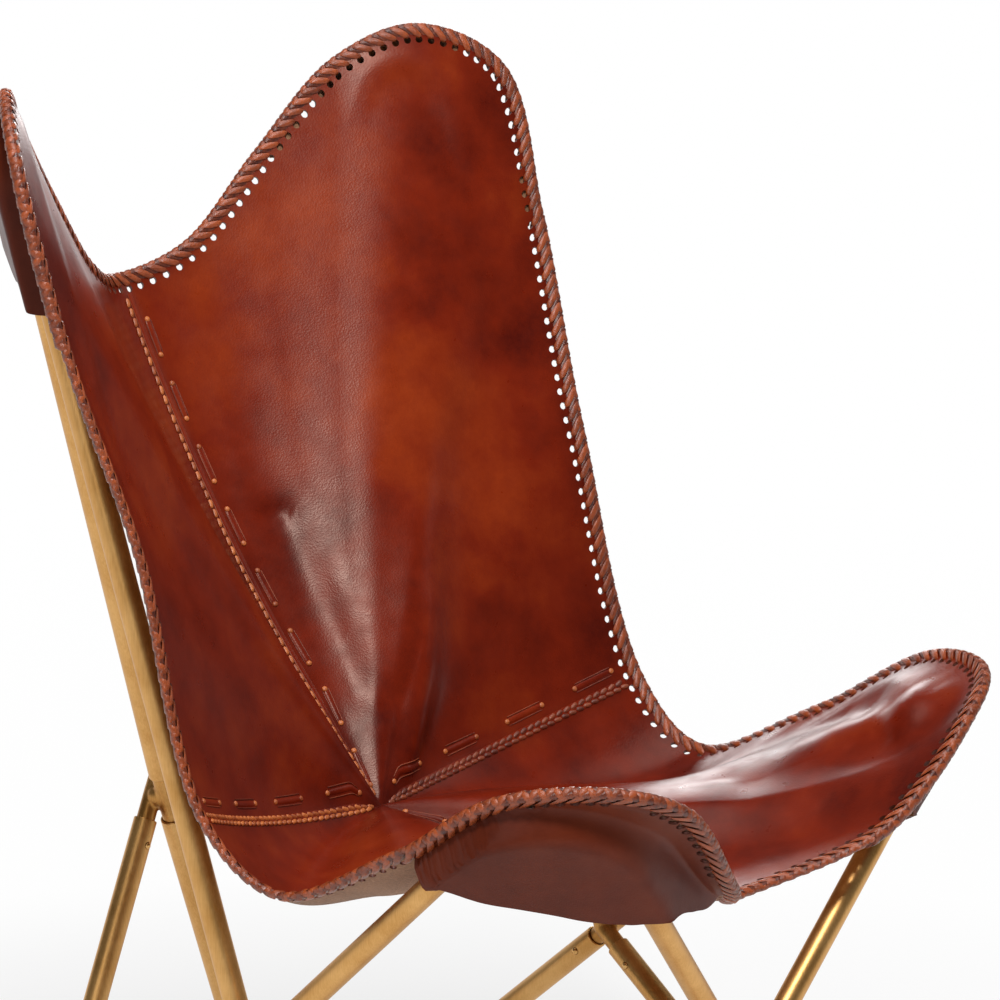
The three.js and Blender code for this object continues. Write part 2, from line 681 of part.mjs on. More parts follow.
addPair('lacing_peak_front', lacing(stations(FRONT_START, FRONT_STOP), true, false), thong);
addPair('lacing_side', lacing(stations(REAR_STOP, FRONT_START), false, true), thong);

const backLace = lacing(stations(-REAR_START, REAR_START), false, true);
add('lacing_back', fromIndexed(backLace.points, backLace.faces), thong);
const frontLeft = stations(FRONT_STOP, RIM_END);
const frontRight = frontLeft.slice(0, -1).reverse().map((s) => ({
  edge: mirror(s.edge), band: mirror(s.band), normals: s.normals.map(mirror),
}));
const frontLace = lacing([...frontLeft, ...frontRight], false, true);
add('lacing_front', fromIndexed(frontLace.points, frontLace.faces), thong);

export default group;
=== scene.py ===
import math

import bpy
import numpy as np
from mathutils import Matrix, Vector


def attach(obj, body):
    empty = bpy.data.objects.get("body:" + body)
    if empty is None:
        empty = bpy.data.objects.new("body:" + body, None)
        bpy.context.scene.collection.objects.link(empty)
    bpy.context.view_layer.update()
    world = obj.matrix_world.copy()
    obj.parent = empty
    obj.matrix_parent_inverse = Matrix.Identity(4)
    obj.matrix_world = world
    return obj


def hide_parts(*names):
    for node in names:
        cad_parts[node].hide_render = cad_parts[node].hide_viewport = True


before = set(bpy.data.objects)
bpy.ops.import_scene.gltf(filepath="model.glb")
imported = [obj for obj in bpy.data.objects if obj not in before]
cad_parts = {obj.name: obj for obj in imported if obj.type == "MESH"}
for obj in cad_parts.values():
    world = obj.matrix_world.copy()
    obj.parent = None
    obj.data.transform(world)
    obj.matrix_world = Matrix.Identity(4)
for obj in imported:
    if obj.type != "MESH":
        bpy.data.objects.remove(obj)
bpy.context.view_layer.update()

# Lengths are in millimetres up to the meshes, which are in metres
MM = 0.001
HAIR = 1e-6
TAU = 2 * math.pi
RANDOM = np.random.default_rng(7)

# Overall size; places are shares of half the width, half the depth and the height
WIDTH, DEPTH, HEIGHT = 677, 722, 944


def spot(x, y, z):
    return np.array([x * WIDTH / 2, y * DEPTH / 2, z * HEIGHT])


# Tube frame
TUBE_R, TUBE_WALL, STUB_PLAY, STUB_REACH, WELD_BITE = 10.0, 1.5, 0.5, 60, 1.5
BORE_R = TUBE_R - TUBE_WALL
STUB_R = BORE_R - STUB_PLAY
REAR_BEND, FRONT_BEND, FOOT_BEND = 40, 72, 40
END_CLEAR = 2
BAR_Z = 13.4
BUTTON_R, BUTTON_INSET, BUTTON_PROUD, BUTTON_PLAY, BUTTON_LENGTH = 3.0, 22, 2, 0.3, 10
HOLE_FLOOR = -2.5

REAR_APEX = spot(0.8744, 0.7424, 1.0953)
FRONT_APEX = spot(0.9217, -0.8726, 0.5169)
REAR_CROSS = spot(0, 0.8837, 0.3252)
FRONT_CROSS = spot(0, -0.7645, 0.1843)
SIDE_CROSS = spot(0.7533, 0.0859, 0.1928)
REAR_FOOT = ((0.4106, 0.9141), (0.8154, 0.651))
FRONT_FOOT = ((0.4254, -0.7756), (0.6056, -0.5485))

# Sling
LEATHER, POCKET, SKIN_GAP, REST_GAP = 3.0, 2.5, 0.5, 2.9
POCKET_EASE, POCKET_SLOPE, POCKET_LOOSE, POCKET_TUCK = 4.4, 1.8, 1.2, 15
DRAPE_SLOPE = 0.3
BAND = 14
SEAM_CROSS = spot(0, 0.2382, 0.3506)
BACK_VALLEY = spot(0, 0.9889, 0.7945)
SIDE_VALLEY = spot(0.9069, 0.0914, 0.4153)
FRONT_VALLEY = spot(0, -0.759, 0.3316)
BACK_RISE = spot(0.192, 0.9307, 0.8167)
SIDE_FALL = spot(0.9069, 0.2659, 0.6377)
SIDE_LOW = spot(0.8892, -0.0942, 0.3612)
REAR_PEAK = (
    (0.384, 0.2541, -0.0857), (0.1891, 0.003, -0.0384), (-0.0236, -0.0975, -0.0207),
    (-0.2511, -0.0118, 0.0089), (-0.3663, 0.3516, 0.0148),
)
FRONT_PEAK = (
    (-0.3279, 0.1595, -0.0473), (-0.13, -0.0975, -0.0118), (0.1418, -0.1654, 0),
    (0.3072, -0.0709, -0.0245), (0.4638, 0.2659, -0.062),
)
BACK_SAG = spot(0, 0.0443, -0.0117)
SIDE_SAG = spot(0, 0.0554, -0.0117)
FRONT_SAG = spot(0, 0, -0.0212)
LOBE_SAG, LOBE_SKEW = spot(0, 0, -0.06), 2.2
MIRROR = np.array([-1.0, 1.0, 1.0])


def length(v):
    return np.linalg.norm(v, axis=-1)


def unit(v):
    return v / length(v)[..., None]


def circle(a, b, sides):
    """Points of a round of sides, from a towards b."""
    angle = np.arange(sides) * TAU / sides
    return a[..., None, :] * np.cos(angle)[:, None] + b[..., None, :] * np.sin(angle)[:, None]


def run_of(line):
    """Distance along a line at each of its points."""
    return np.concatenate([[0], np.cumsum(length(np.diff(line, axis=0)))])


def ease(x):
    x = np.clip(x, 0, 1)
    return x * x * (3 - 2 * x)


def soft_max(a, b, k):
    return np.maximum(a, b) + np.maximum(k - np.abs(a - b), 0) ** 2 / (4 * k)


class Plane:
    """The plane of one upper tube: across towards its first arm, down between the arms, and out."""

    def __init__(self, apex, first, second, radius):
        a, b = unit(first - apex), unit(second - apex)
        self.half = math.acos(a @ b) / 2
        self.down, self.across = unit(a + b), unit(a - b)
        out = np.cross(self.down, self.across)
        self.out = out if out[0] > 0 else -out
        self.radius = radius
        self.top = apex + self.down * radius * (1 / math.sin(self.half) - 1)

    def local(self, p):
        q = p - self.top
        return q @ self.across, q @ self.down, q @ self.out

    def rim_point(self, shares):
        x, y, z = (share * WIDTH / 2 for share in shares)
        return self.top + self.across * x + self.down * y + self.out * z

    def outside(self, x, y):
        """Distance outside the bent centre line, negative between the arms."""
        c, s = math.cos(self.half), math.sin(self.half)
        dx, dy = np.abs(x) - self.radius * c, y - self.radius * (1 - s)
        bent = np.hypot(x, y - self.radius) - self.radius
        return np.where(dx * s + dy * c > 0, dx * c - dy * s, bent)


REAR = Plane(REAR_APEX, REAR_CROSS, SIDE_CROSS, REAR_BEND)
FRONT = Plane(FRONT_APEX, FRONT_CROSS, SIDE_CROSS, FRONT_BEND)

# The rim runs from the back valley over both left peaks to the front valley, then back mirrored
LEFT_RIM = [
    BACK_VALLEY, BACK_RISE, *map(REAR.rim_point, REAR_PEAK), SIDE_FALL, SIDE_VALLEY,
    SIDE_LOW, *map(FRONT.rim_point, FRONT_PEAK), FRONT_VALLEY,
]
LOOP = np.array(LEFT_RIM + [p * MIRROR for p in LEFT_RIM[-2:0:-1]])
TURN = len(LOOP)
RIM_END, RIM_SIDE = 15, 8
REST_DEPTH = TUBE_R + LEATHER / 2 + REST_GAP
# Steps in t and r over which slopes are taken, and the least r of a normal
FINE_STEP, STEP, LEAST_R = 0.004, 0.01, 0.03


def rim(t):
    i = np.floor(t).astype(int)
    w = (t - i)[..., None]
    p0, p1, p2, p3 = (LOOP[(i + k) % TURN] for k in (-1, 0, 1, 2))
    d0, d1, d2 = (np.sum((b - a) ** 2, axis=-1, keepdims=True) ** 0.25
                  for a, b in ((p0, p1), (p1, p2), (p2, p3)))
    m1 = ((p1 - p0) / d0 - (p2 - p0) / (d0 + d1) + (p2 - p1) / d1) * d1
    m2 = ((p2 - p1) / d1 - (p3 - p1) / (d1 + d2) + (p3 - p2) / d2) * d1
    return p1 + w * (m1 + w * (3 * (p2 - p1) - 2 * m1 - m2 + w * (2 * (p1 - p2) + m1 + m2)))


def surface(t, r):
    """Middle of the leather: t runs round the rim, r from the seam crossing out to the rim."""
    t, r = np.broadcast_arrays(t, r)
    t = np.mod(t, TURN)
    flip = t > RIM_END
    t = np.where(flip, TURN - t, t)
    rear = t <= RIM_SIDE
    w = ease(np.where(rear, t / RIM_SIDE, (RIM_END - t) / (RIM_END - RIM_SIDE)))[..., None]
    sag = np.where(rear[..., None], BACK_SAG, FRONT_SAG) * (1 - w) + SIDE_SAG * w
    p = SEAM_CROSS + (rim(t) - SEAM_CROSS) * r[..., None] + sag * np.sin(math.pi * r)[..., None]
    middle = np.where(rear, 0, 4 * w[..., 0] * (1 - w[..., 0]))
    lobe = middle * np.sin(math.pi * np.maximum(r, 0) ** LOBE_SKEW)
    p = p + LOBE_SAG * lobe[..., None]
    for plane, mine in ((REAR, rear), (FRONT, ~rear)):
        x, y, z = plane.local(p)
        gap = np.abs(plane.outside(x, y))
        limit = -REST_DEPTH + DRAPE_SLOPE * np.maximum(gap - TUBE_R / 2, 0)
        shift = -soft_max(-z, -limit, TUBE_R) - z
        p = p + np.where(mine, shift, 0)[..., None] * plane.out
    return p * np.where(flip[..., None], MIRROR, 1.0)


def normal(t, r):
    """Towards the sitter."""
    r = np.maximum(r, LEAST_R)
    along = surface(t + FINE_STEP, r) - surface(t - FINE_STEP, r)
    outward = surface(t, r + FINE_STEP) - surface(t, r - FINE_STEP)
    return unit(np.cross(along, outward))


# Creases and swells of the leather: rows of a place on the line that each follows, width and height there
CREASE = ((40, 228, 556, 6, -2), (58, 221, 553, 6, -2))
BACK_FOLD = (
    (171, 148, 572, 26, 2), (136, 139, 523, 28, 8), (113, 128, 476, 27, 13),
    (90, 115, 430, 23, 14), (64, 102, 387, 16, 10), (45, 93, 355, 10, 4),
)
FOLD_VALLEY = ((48, 225, 555, 18, -2.5), (31, 130, 419, 18, -2.5))
DIMPLE = ((46, 110, 405, 9, -2), (52, 110, 413, 9, -2))
SEAT_SWELL = (
    (135, -156, 345, 30, 2), (171, -152, 345, 48, 8), (219, -145, 348, 64, 14.5),
    (220, -204, 361, 62, 23), (230, -227, 373, 52, 25), (235, -252, 386, 44, 24),
    (229, -280, 405, 34, 17), (233, -301, 423, 24, 8),
)
RELIEF = [np.array(line, float) for line in (CREASE, BACK_FOLD, FOLD_VALLEY, DIMPLE, SEAT_SWELL)]
# Slow waves all over: their height, and lengths along x, z, z and y
WAVE_HEIGHT, WAVE_X, WAVE_Z, CROSS_Z, CROSS_Y = 0.5, 31, 47, 39, 53


def relief(p):
    x, y, z = (p[..., k] for k in range(3))
    h = WAVE_HEIGHT * np.sin(x / WAVE_X + z / WAVE_Z) * np.sin(z / CROSS_Z - y / CROSS_Y)
    for line in RELIEF:
        best = np.zeros(p.shape[:-1])
        for a, b in zip(line, line[1:]):
            run = (b - a)[:3]
            f = np.clip(((p - a[:3]) @ run) / (run @ run), 0, 1)
            gap = length(p - a[:3] - f[..., None] * run)
            width, height = (a[k] + (b[k] - a[k]) * f for k in (3, 4))
            swell = height * np.exp(-((gap / width) ** 2))
            best = np.where(np.abs(swell) > np.abs(best), swell, best)
        h = h + best
    return h


def skin(t, r, h):
    """A point h above the middle of the leather, towards the sitter."""
    p = surface(t, r)
    return p + normal(t, r) * (h + relief(p))[..., None]


# Distances round the rim, and the steps in t and r that lead square to it and inwards
RIM_COUNT, SEAM_EASE = 6001, 60
RIM_T = np.linspace(0, TURN, RIM_COUNT)
RIM_S = run_of(surface(RIM_T, 1.0))
SEAMS_T = (0, RIM_SIDE, RIM_END, TURN - RIM_SIDE, TURN)
SEAMS_S = np.interp(SEAMS_T, RIM_T, RIM_S)


def square_steps():
    jt = (surface(RIM_T + STEP, 1.0) - surface(RIM_T - STEP, 1.0)) / (2 * STEP)
    jr = (surface(RIM_T, 1.0) - surface(RIM_T, 1.0 - STEP)) / STEP
    run = unit(jt)
    slide = np.sum(jr * run, axis=1)
    square = length(jr - slide[:, None] * run)
    near = np.min(np.abs(RIM_S[:, None] - SEAMS_S), axis=1)
    return slide / square / length(jt) * ease(near / SEAM_EASE), 1 / square


STEP_T, STEP_R = square_steps()


def band(s, d):
    """t and r at the distance s round the rim and d in from it."""
    s = np.mod(s, RIM_S[-1])
    t = np.interp(s, RIM_S, RIM_T) + d * np.interp(s, RIM_S, STEP_T)
    return t, 1 - d * np.interp(s, RIM_S, STEP_R)


# Materials
def rgb(r, g, b):
    return (*(((c / 255 + 0.055) / 1.055) ** 2.4 for c in (r, g, b)), 1.0)


class Nodes:
    """Adds nodes to one tree and links them."""

    def __init__(self, tree, coordinates):
        self.tree = tree
        self.where = self.add("TexCoord").outputs[coordinates]

    def add(self, kind, inputs=(), **props):
        node = self.tree.nodes.new("ShaderNode" + kind)
        for key, value in props.items():
            setattr(node, key, value)
        for key, value in dict(inputs).items():
            if isinstance(value, bpy.types.NodeSocket):
                self.tree.links.new(value, node.inputs[key])
            else:
                node.inputs[key].default_value = value
        return node

    def calc(self, operation, *values):
        return self.add("Math", dict(enumerate(values)), operation=operation).outputs[0]

    def scaled(self, value, by, plus=0.0):
        return self.calc("MULTIPLY_ADD", value, by, plus)

    def between(self, value, span, levels):
        """A straight slope over the span, from the first level to the second."""
        return self.add("MapRange", dict(enumerate((value, *span, *levels)))).outputs[0]

    def noise(self, scale, detail=2.0, rough=0.5, where=None):
        where = self.where if where is None else where
        sockets = {"Vector": where, "Scale": scale, "Detail": detail, "Roughness": rough}
        return self.add("TexNoise", sockets).outputs["Fac"]

    def mix(self, share, a, b):
        return self.add("Mix", {0: share, 6: a, 7: b}, data_type="RGBA").outputs[2]

    def ramp(self, value, stops):
        node = self.add("ValToRGB", {"Fac": value})
        elements = node.color_ramp.elements
        for element, (at, colour) in zip(elements, (stops[0], stops[-1])):
            element.position, element.color = at, colour
        for at, colour in stops[1:-1]:
            elements.new(at).color = colour
        return node.outputs["Color"]

    def attribute(self, name):
        return self.add("Attribute", attribute_name=name).outputs["Fac"]


class Finish(Nodes):
    """The nodes of a glossy material with some sockets fixed."""

    def __init__(self, name, fixed):
        self.mat = bpy.data.materials.new(name)
        self.mat.use_nodes = True
        super().__init__(self.mat.node_tree, "Object")
        self.shader = self.tree.nodes["Principled BSDF"].inputs
        for socket, value in fixed.items():
            self.shader[socket].default_value = value

    def done(self, colour, rough, height, depth):
        """Links colour, roughness and bumps of a depth in metres."""
        bump = self.add("Bump", {"Height": height, "Strength": 1.0, "Distance": depth})
        sockets = {"Base Color": colour, "Roughness": rough, "Normal": bump.outputs["Normal"]}
        for socket, value in sockets.items():
            self.tree.links.new(value, self.shader[socket])
        return self.mat


def hide(name, dark, middle, light, rough, fixed):
    """Waxed leather: cloudy dye, darker towards rim and seams, fine pores."""
    n = Finish(name, fixed)
    clouds, blotches = n.noise(5), n.noise(26, detail=4, rough=0.6)
    tone = n.scaled(blotches, by=0.35, plus=n.scaled(clouds, by=0.65))
    dye = n.ramp(tone, ((0.33, dark), (0.5, middle), (0.67, light)))
    rubbed = (*(0.45 * c for c in dark[:3]), 1)
    dye = n.mix(n.scaled(n.attribute("edge"), by=0.62), dye, rubbed)
    flecks = n.noise(260, detail=3, rough=0.7)
    dye = n.mix(n.scaled(flecks, by=0.5, plus=-0.16), dye, middle)
    polish = n.scaled(n.noise(55, detail=3), by=0.2, plus=rough - 0.1)
    pores = n.add("TexVoronoi", {"Vector": n.where, "Scale": 620}).outputs["Distance"]
    grain = n.scaled(n.noise(120, detail=3), by=0.8, plus=pores)
    return n.done(dye, polish, grain, depth=0.00006)


def suede(name, dark, light):
    """The rough inner side of the leather."""
    n = Finish(name, {"Sheen Weight": 0.25, "Sheen Roughness": 0.5, "Specular IOR Level": 0.2})
    nap = n.noise(420, detail=4, rough=0.7)
    tone = n.scaled(nap, by=0.55, plus=n.scaled(n.noise(16, detail=3), by=0.45))
    colour = n.ramp(tone, ((0.36, dark), (0.64, light)))
    return n.done(colour, n.scaled(nap, by=0.15, plus=0.8), nap, depth=0.0006)


def thong(name, dark, light, rough):
    """Cut leather lace: each turn has its own tone, with fibres at its edges; on the lacing the tone also
    carries painted shade, darker on the lower strokes.
    """
    n = Finish(name, {"Coat Weight": 0.15, "Coat Roughness": 0.3})
    mottle = n.noise(210, detail=3, rough=0.6)
    tone = n.scaled(mottle, by=0.7, plus=n.scaled(n.attribute("tone"), by=0.5))
    colour = n.ramp(tone, ((0.3, dark), (0.85, light)))
    polish = n.scaled(n.noise(300), by=0.25, plus=rough - 0.12)
    return n.done(colour, polish, n.noise(700, detail=4, rough=0.7), depth=0.0004)


def metal(name, dark, light, rough):
    """Satin plating with faint drawn lines and a little tarnish."""
    n = Finish(name, {"Metallic": 1})
    drawn = n.add("Mapping", {"Vector": n.where, "Scale": (900, 900, 40)}).outputs[0]
    lines = n.noise(1, detail=3, rough=0.6, where=drawn)
    tarnish = n.noise(22, detail=4, rough=0.6)
    tone = n.scaled(lines, by=0.35, plus=n.scaled(tarnish, by=0.65))
    polish = n.scaled(tarnish, by=0.16, plus=n.scaled(lines, by=0.12, plus=rough - 0.14))
    return n.done(n.ramp(tone, ((0.36, dark), (0.62, light))), polish, lines, depth=0.00006)


def nylon(name, dark, light):
    n = Finish(name, {})
    speck = n.noise(800, detail=3)
    colour = n.ramp(speck, ((0.4, dark), (0.6, light)))
    return n.done(colour, n.scaled(speck, by=0.2, plus=0.42), speck, depth=0.0002)


LEATHER_MAT = hide("sling_leather", rgb(72, 10, 2), rgb(117, 30, 8), rgb(146, 52, 16), 0.31,
                   {"Specular IOR Level": 0.24, "Specular Tint": (1.0, 0.76, 0.64, 1.0)})
POCKET_MAT = hide("pocket_leather", rgb(78, 26, 10), rgb(98, 37, 17), rgb(114, 48, 25), 0.4,
                  {"Specular IOR Level": 0.15})
SUEDE_MAT = suede("suede_back", rgb(126, 88, 62), rgb(176, 132, 100))
EDGE_MAT = thong("cut_edge", rgb(70, 26, 14), rgb(120, 54, 30), 0.6)
LACE_MAT = thong("lacing_thong", rgb(70, 20, 7), rgb(164, 76, 34), 0.32)
TAN_MAT = thong("seam_thong", rgb(140, 62, 26), rgb(200, 112, 54), 0.42)
# A darker copy of the seam thong, used only for the left side seam's stitches: painted shade
SHADED_SEAM_MAT = thong("seam_thong_painted_shade", rgb(86, 30, 14), rgb(140, 64, 32), 0.42)
LINE_MAT = thong("seam_thread", rgb(100, 32, 12), rgb(146, 64, 30), 0.5)
BRASS_MAT = metal("satin_brass", rgb(196, 144, 80), rgb(222, 174, 110), 0.4)
WELD_MAT = metal("brazed_brass", rgb(170, 120, 62), rgb(214, 164, 98), 0.42)
PIN_MAT = metal("polished_brass", rgb(206, 154, 88), rgb(230, 186, 122), 0.26)
NYLON_MAT = nylon("black_nylon", rgb(22, 20, 19), rgb(40, 37, 35))


# Meshes
def add_object(name, data):
    obj = bpy.data.objects.new(name, data)
    bpy.context.scene.collection.objects.link(obj)
    return obj


def smooth(mesh, sharp):
    """Smooth shading, with edges over sharp degrees kept sharp."""
    mesh.shade_smooth()
    mesh.set_sharp_from_angle(angle=math.radians(sharp))


def make(name, points, faces, mats, slots=None, sharp=40, *, finish, body="chair", stands_for=(), attrs=()):
    mesh = bpy.data.meshes.new(name)
    mesh.from_pydata((points * MM).tolist(), [], faces)
    for mat in mats:
        mesh.materials.append(mat)
    if slots is not None:
        mesh.polygons.foreach_set("material_index", slots)
    for key, values in dict(attrs).items():
        mesh.attributes.new(key, "FLOAT", "POINT").data.foreach_set("value", values)
    smooth(mesh, sharp)
    obj = add_object(name, mesh)
    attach(obj, body)
    if stands_for:
        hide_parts(*stands_for)
    return obj


def shell(inner, outer, faces):
    """A closed skin: the patch, its back and the walls round every opening, as slots 0, 1 and 2."""
    n = len(inner)
    edges = {(a, b) for f in faces for a, b in zip(f, f[1:] + f[:1])}
    walls = [[b, a, a + n, b + n] for a, b in sorted(edges) if (b, a) not in edges]
    back = [[i + n for i in reversed(f)] for f in faces]
    slots = [0] * len(faces) + [1] * len(back) + [2] * len(walls)
    return np.vstack([inner, outer]), faces + back + walls, slots


def join_rows(a, b):
    """Faces between two rows of (place, vertex), from the outer row a to the inner row b."""
    if len(a) == len(b):
        return [[a[i][1], b[i][1], b[i + 1][1], a[i + 1][1]] for i in range(len(a) - 1)]
    faces, i, j = [], 0, 0
    for _, inner in sorted([(at, 0) for at, _ in a[1:]] + [(at, 1) for at, _ in b[1:]]):
        ahead = b[j + 1] if inner else a[i + 1]
        faces.append([a[i][1], b[j][1], ahead[1]])
        i, j = i + 1 - inner, j + inner
    return faces


def fans(q):
    """Cross products of the triangles of one face."""
    return [np.cross(q[i] - q[0], q[i + 1] - q[0]) for i in range(1, len(q) - 1)]


def vertex_normals(points, faces):
    sums = np.zeros_like(points)
    for f in faces:
        sums[f] += np.sum(fans(points[f]), axis=0)
    return unit(sums)


# Laced edge: holes a pitch apart, each in the middle of a cell
PITCH, HOLE_LINE, CELL, CELL_STEP, EDGE_STRIP = 12.4, 14.0, 5.0, 2, 4.0
HOLE_R, POCKET_HOLE_R = 3.1, 4.0
PER_HOLE, HOLE_SIDES, HOLE_START = 3, 12, math.radians(-135)
CELLS = [max(round((b - a) / PITCH), 1) for a, b in zip(SEAMS_S, SEAMS_S[1:])]
PITCHES = [(b - a) / n for a, b, n in zip(SEAMS_S, SEAMS_S[1:], CELLS)]


class Patch:
    """Spots on the sling and the faces between them."""

    def __init__(self, low, high):
        self.low, self.high = low + HAIR, high - HAIR
        self.t, self.r, self.gap, self.count, self.faces = [], [], [], 0, []

    def put(self, t, r, gap):
        t = np.clip(np.where(t < self.low - 1, t + TURN, t), self.low, self.high)
        self.t.append(t)
        self.r.append(np.broadcast_to(r, t.shape))
        self.gap.append(np.broadcast_to(gap, t.shape))
        self.count += len(t)
        return list(range(self.count - len(t), self.count))

    def spots(self):
        return map(np.concatenate, (self.t, self.r, self.gap))

    def punch(self, s0, pitch, n, hole, is_open):
        """The laced edge with a row of holes; gives back its columns and its inmost row."""
        cols = s0 + np.arange(PER_HOLE * n + 1) * pitch / PER_HOLE
        cols[-1] -= HAIR
        depths = (0.0, EDGE_STRIP, HOLE_LINE - CELL, HOLE_LINE + CELL)
        rows = [self.put(*band(cols, d), d) for d in depths]
        for outer, inner in zip(rows[:2], rows[1:3]):
            self.faces += [[inner[i], inner[i + 1], outer[i + 1], outer[i]] for i in range(PER_HOLE * n)]
        ends = cols[::PER_HOLE]
        low, high = (self.put(*band(ends, d), d) for d in (HOLE_LINE + CELL_STEP, HOLE_LINE - CELL_STEP))
        angles = HOLE_START + np.arange(HOLE_SIDES) * TAU / HOLE_SIDES
        for j in range(n):
            middle = s0 + (j + 0.5) * pitch
            two = skin(*band(np.array([middle - 1, middle + 1]), HOLE_LINE), 0.0)
            scale = length(two[1] - two[0]) / 2
            d = HOLE_LINE - hole * np.sin(angles)
            ring = self.put(*band(middle + hole / scale * np.cos(angles), d), d)
            near, deep = (row[PER_HOLE * j:PER_HOLE * (j + 1) + 1] for row in rows[2:])
            square = [*deep, low[j + 1], high[j + 1], *near[::-1], high[j], low[j]]
            for i in range(HOLE_SIDES):
                k = (i + 1) % HOLE_SIDES
                self.faces.append([square[i], square[k], ring[k], ring[i]])
            if not is_open[j]:
                self.faces.append(ring)
        return cols, rows[3]


SHEET_SHARP = 50
# Rows of a panel from its laced edge to the crossing; faces for each hole, while more than a share is left
PANEL_ROWS, ROW_CROWD, PANEL_REACH = 74, 1.25, 300
ROW_FACES = ((0.72, 3), (0.5, 2), (0.25, 1), (0.12, 0.5), (0, 0.25))
# Darkening: how far it reaches in from the rim and the seams, and its share beside a seam
RIM_DARK, SEAM_DARK, SEAM_SHARE = 13, 11, 0.75


def build_panel(k, name):
    s0, s1, n = SEAMS_S[k], SEAMS_S[k + 1], CELLS[k]
    patch = Patch(SEAMS_T[k], SEAMS_T[k + 1])
    _, edge_row = patch.punch(s0, PITCHES[k], n, HOLE_R, [True] * n)
    last = list(zip(np.linspace(0, 1, PER_HOLE * n + 1), edge_row))
    for f in 1 - np.linspace(0, 1, PANEL_ROWS)[1:-1] ** ROW_CROWD:
        per = next(count for least, count in ROW_FACES if f > least)
        share = np.linspace(0, 1, max(round(n * per), 2) + 1)
        s = s0 + share * (s1 - s0)
        s[-1] -= HAIR
        t, r = band(s, HOLE_LINE + CELL)
        row = list(zip(share, patch.put(t, r * f, HOLE_LINE + CELL + (1 - f) * PANEL_REACH)))
        patch.faces += join_rows(last, row)
        last = row
    tip = patch.put(np.array([(patch.low + patch.high) / 2]), 0.0, PANEL_REACH)
    patch.faces += [[last[i][1], tip[0], last[i + 1][1]] for i in range(len(last) - 1)]
    t, r, gap = patch.spots()
    middle = surface(t, r)
    from_seam = np.min([length(middle - surface(x, r)) for x in (patch.low, patch.high)], axis=0)
    edge = np.maximum(np.exp(-gap / RIM_DARK), SEAM_SHARE * np.exp(-from_seam / SEAM_DARK))
    points, faces, slots = shell(skin(t, r, LEATHER / 2), skin(t, r, -LEATHER / 2), patch.faces)
    panel = make(f"leather_{name}", points, faces, (LEATHER_MAT, SUEDE_MAT, EDGE_MAT), slots, SHEET_SHARP,
                 stands_for=(f"panel_{name}",), finish="leather",
                 attrs={"edge": np.tile(edge, 2), "tone": np.tile(edge, 2)})


for k, name in enumerate(("back_left", "seat_left", "seat_right", "back_right")):
    build_panel(k, name)


def through(points, count):
    """A smooth line of count stations through rows of numbers."""
    p = np.asarray(points, float)
    u = np.linspace(0, len(p) - 1, count)
    i = np.minimum(u.astype(int), len(p) - 2)
    w = (u - i)[:, None]
    q = np.vstack([2 * p[0] - p[1], p, 2 * p[-1] - p[-2]])
    a, b, c, d = q[i], q[i + 1], q[i + 2], q[i + 3]
    return b + w * ((c - a) / 2 + w * (a - 2.5 * b + 2 * c - 0.5 * d + w * (1.5 * (b - c) + 0.5 * (d - a))))


# Pockets: they leave the laced edge, turn out over the tube and end at a mouth
SHOULDER = TUBE_R + POCKET_EASE
POCKET_LIFT = LEATHER / 2 + SKIN_GAP + POCKET / 2
POCKET_HEIGHT = TUBE_R + POCKET / 2 + REST_GAP + POCKET_EASE
LACE_REACH, POCKET_TURN, POCKET_BLEND, FRONT_TUCK, TUCK_RATE = 9.0, 8.0, 7.0, 3.0, 2
REAR_SPAN, FRONT_SPAN = (2, 6.1), (10, 14.2)
END_TAPER, END_SHARE = 44.0, 0.15
# Mouths: places round the rim and millimetres in from it
REAR_MOUTH = ((2, 5), (2.25, 24), (2.5, 52), (2.75, 82), (3, 105), (3.5, 132), (4, 145), (4.5, 138),
              (5, 112), (5.25, 106), (5.5, 82), (5.75, 46), (6, 15), (6.1, 4))
FRONT_MOUTH = ((10, 2), (10.25, 15), (10.5, 31), (11, 69), (11.5, 94), (12, 110), (12.5, 113), (13, 103))
NEAR_END = ((13.25, 84), (13.5, 59), (13.75, 45), (14, 31), (14.2, 8))
FAR_END = ((13.25, 70), (13.5, 34), (13.75, 22), (14, 14), (14.2, 5))
MOUTH_STATIONS, POCKET_ROWS, LEAST_DEPTH, SMOOTHINGS, LIP_STEP = 400, 37, 0.006, 3, 6
POCKET_DARK, LIP_DARK, LIP_SHARE = 12, 7, 0.5


def mouth_line(rows):
    """The mouth of a pocket as rows of (t, r)."""
    t, depth = np.array(rows, float).T
    r = 1 - depth / length(surface(t, 1.0) - SEAM_CROSS)
    return through(np.column_stack([t, r]), MOUTH_STATIONS)


def pocket_spots(plane, span, tuck, t, r, gap):
    """Points of a pocket, tuck lower at its last end; gap is the way in from the rim."""
    p = surface(t, r)
    x, y, z = plane.local(p)
    first, last = span
    sunk = POCKET_TUCK * (1 - ease(TUCK_RATE * (t - first))) + tuck * (1 - ease(TUCK_RATE * (last - t)))
    reach = POCKET_HEIGHT - sunk - POCKET_SLOPE * np.maximum(plane.outside(x, y) - SHOULDER, 0)
    lift = soft_max(z + POCKET_LIFT * POCKET_LOOSE, reach, POCKET_BLEND) - z
    raised = p + lift[..., None] * plane.out
    flat = skin(t, r, -POCKET_LIFT)
    return flat + (raised - flat) * ease((gap - LACE_REACH) / POCKET_TURN)[..., None]


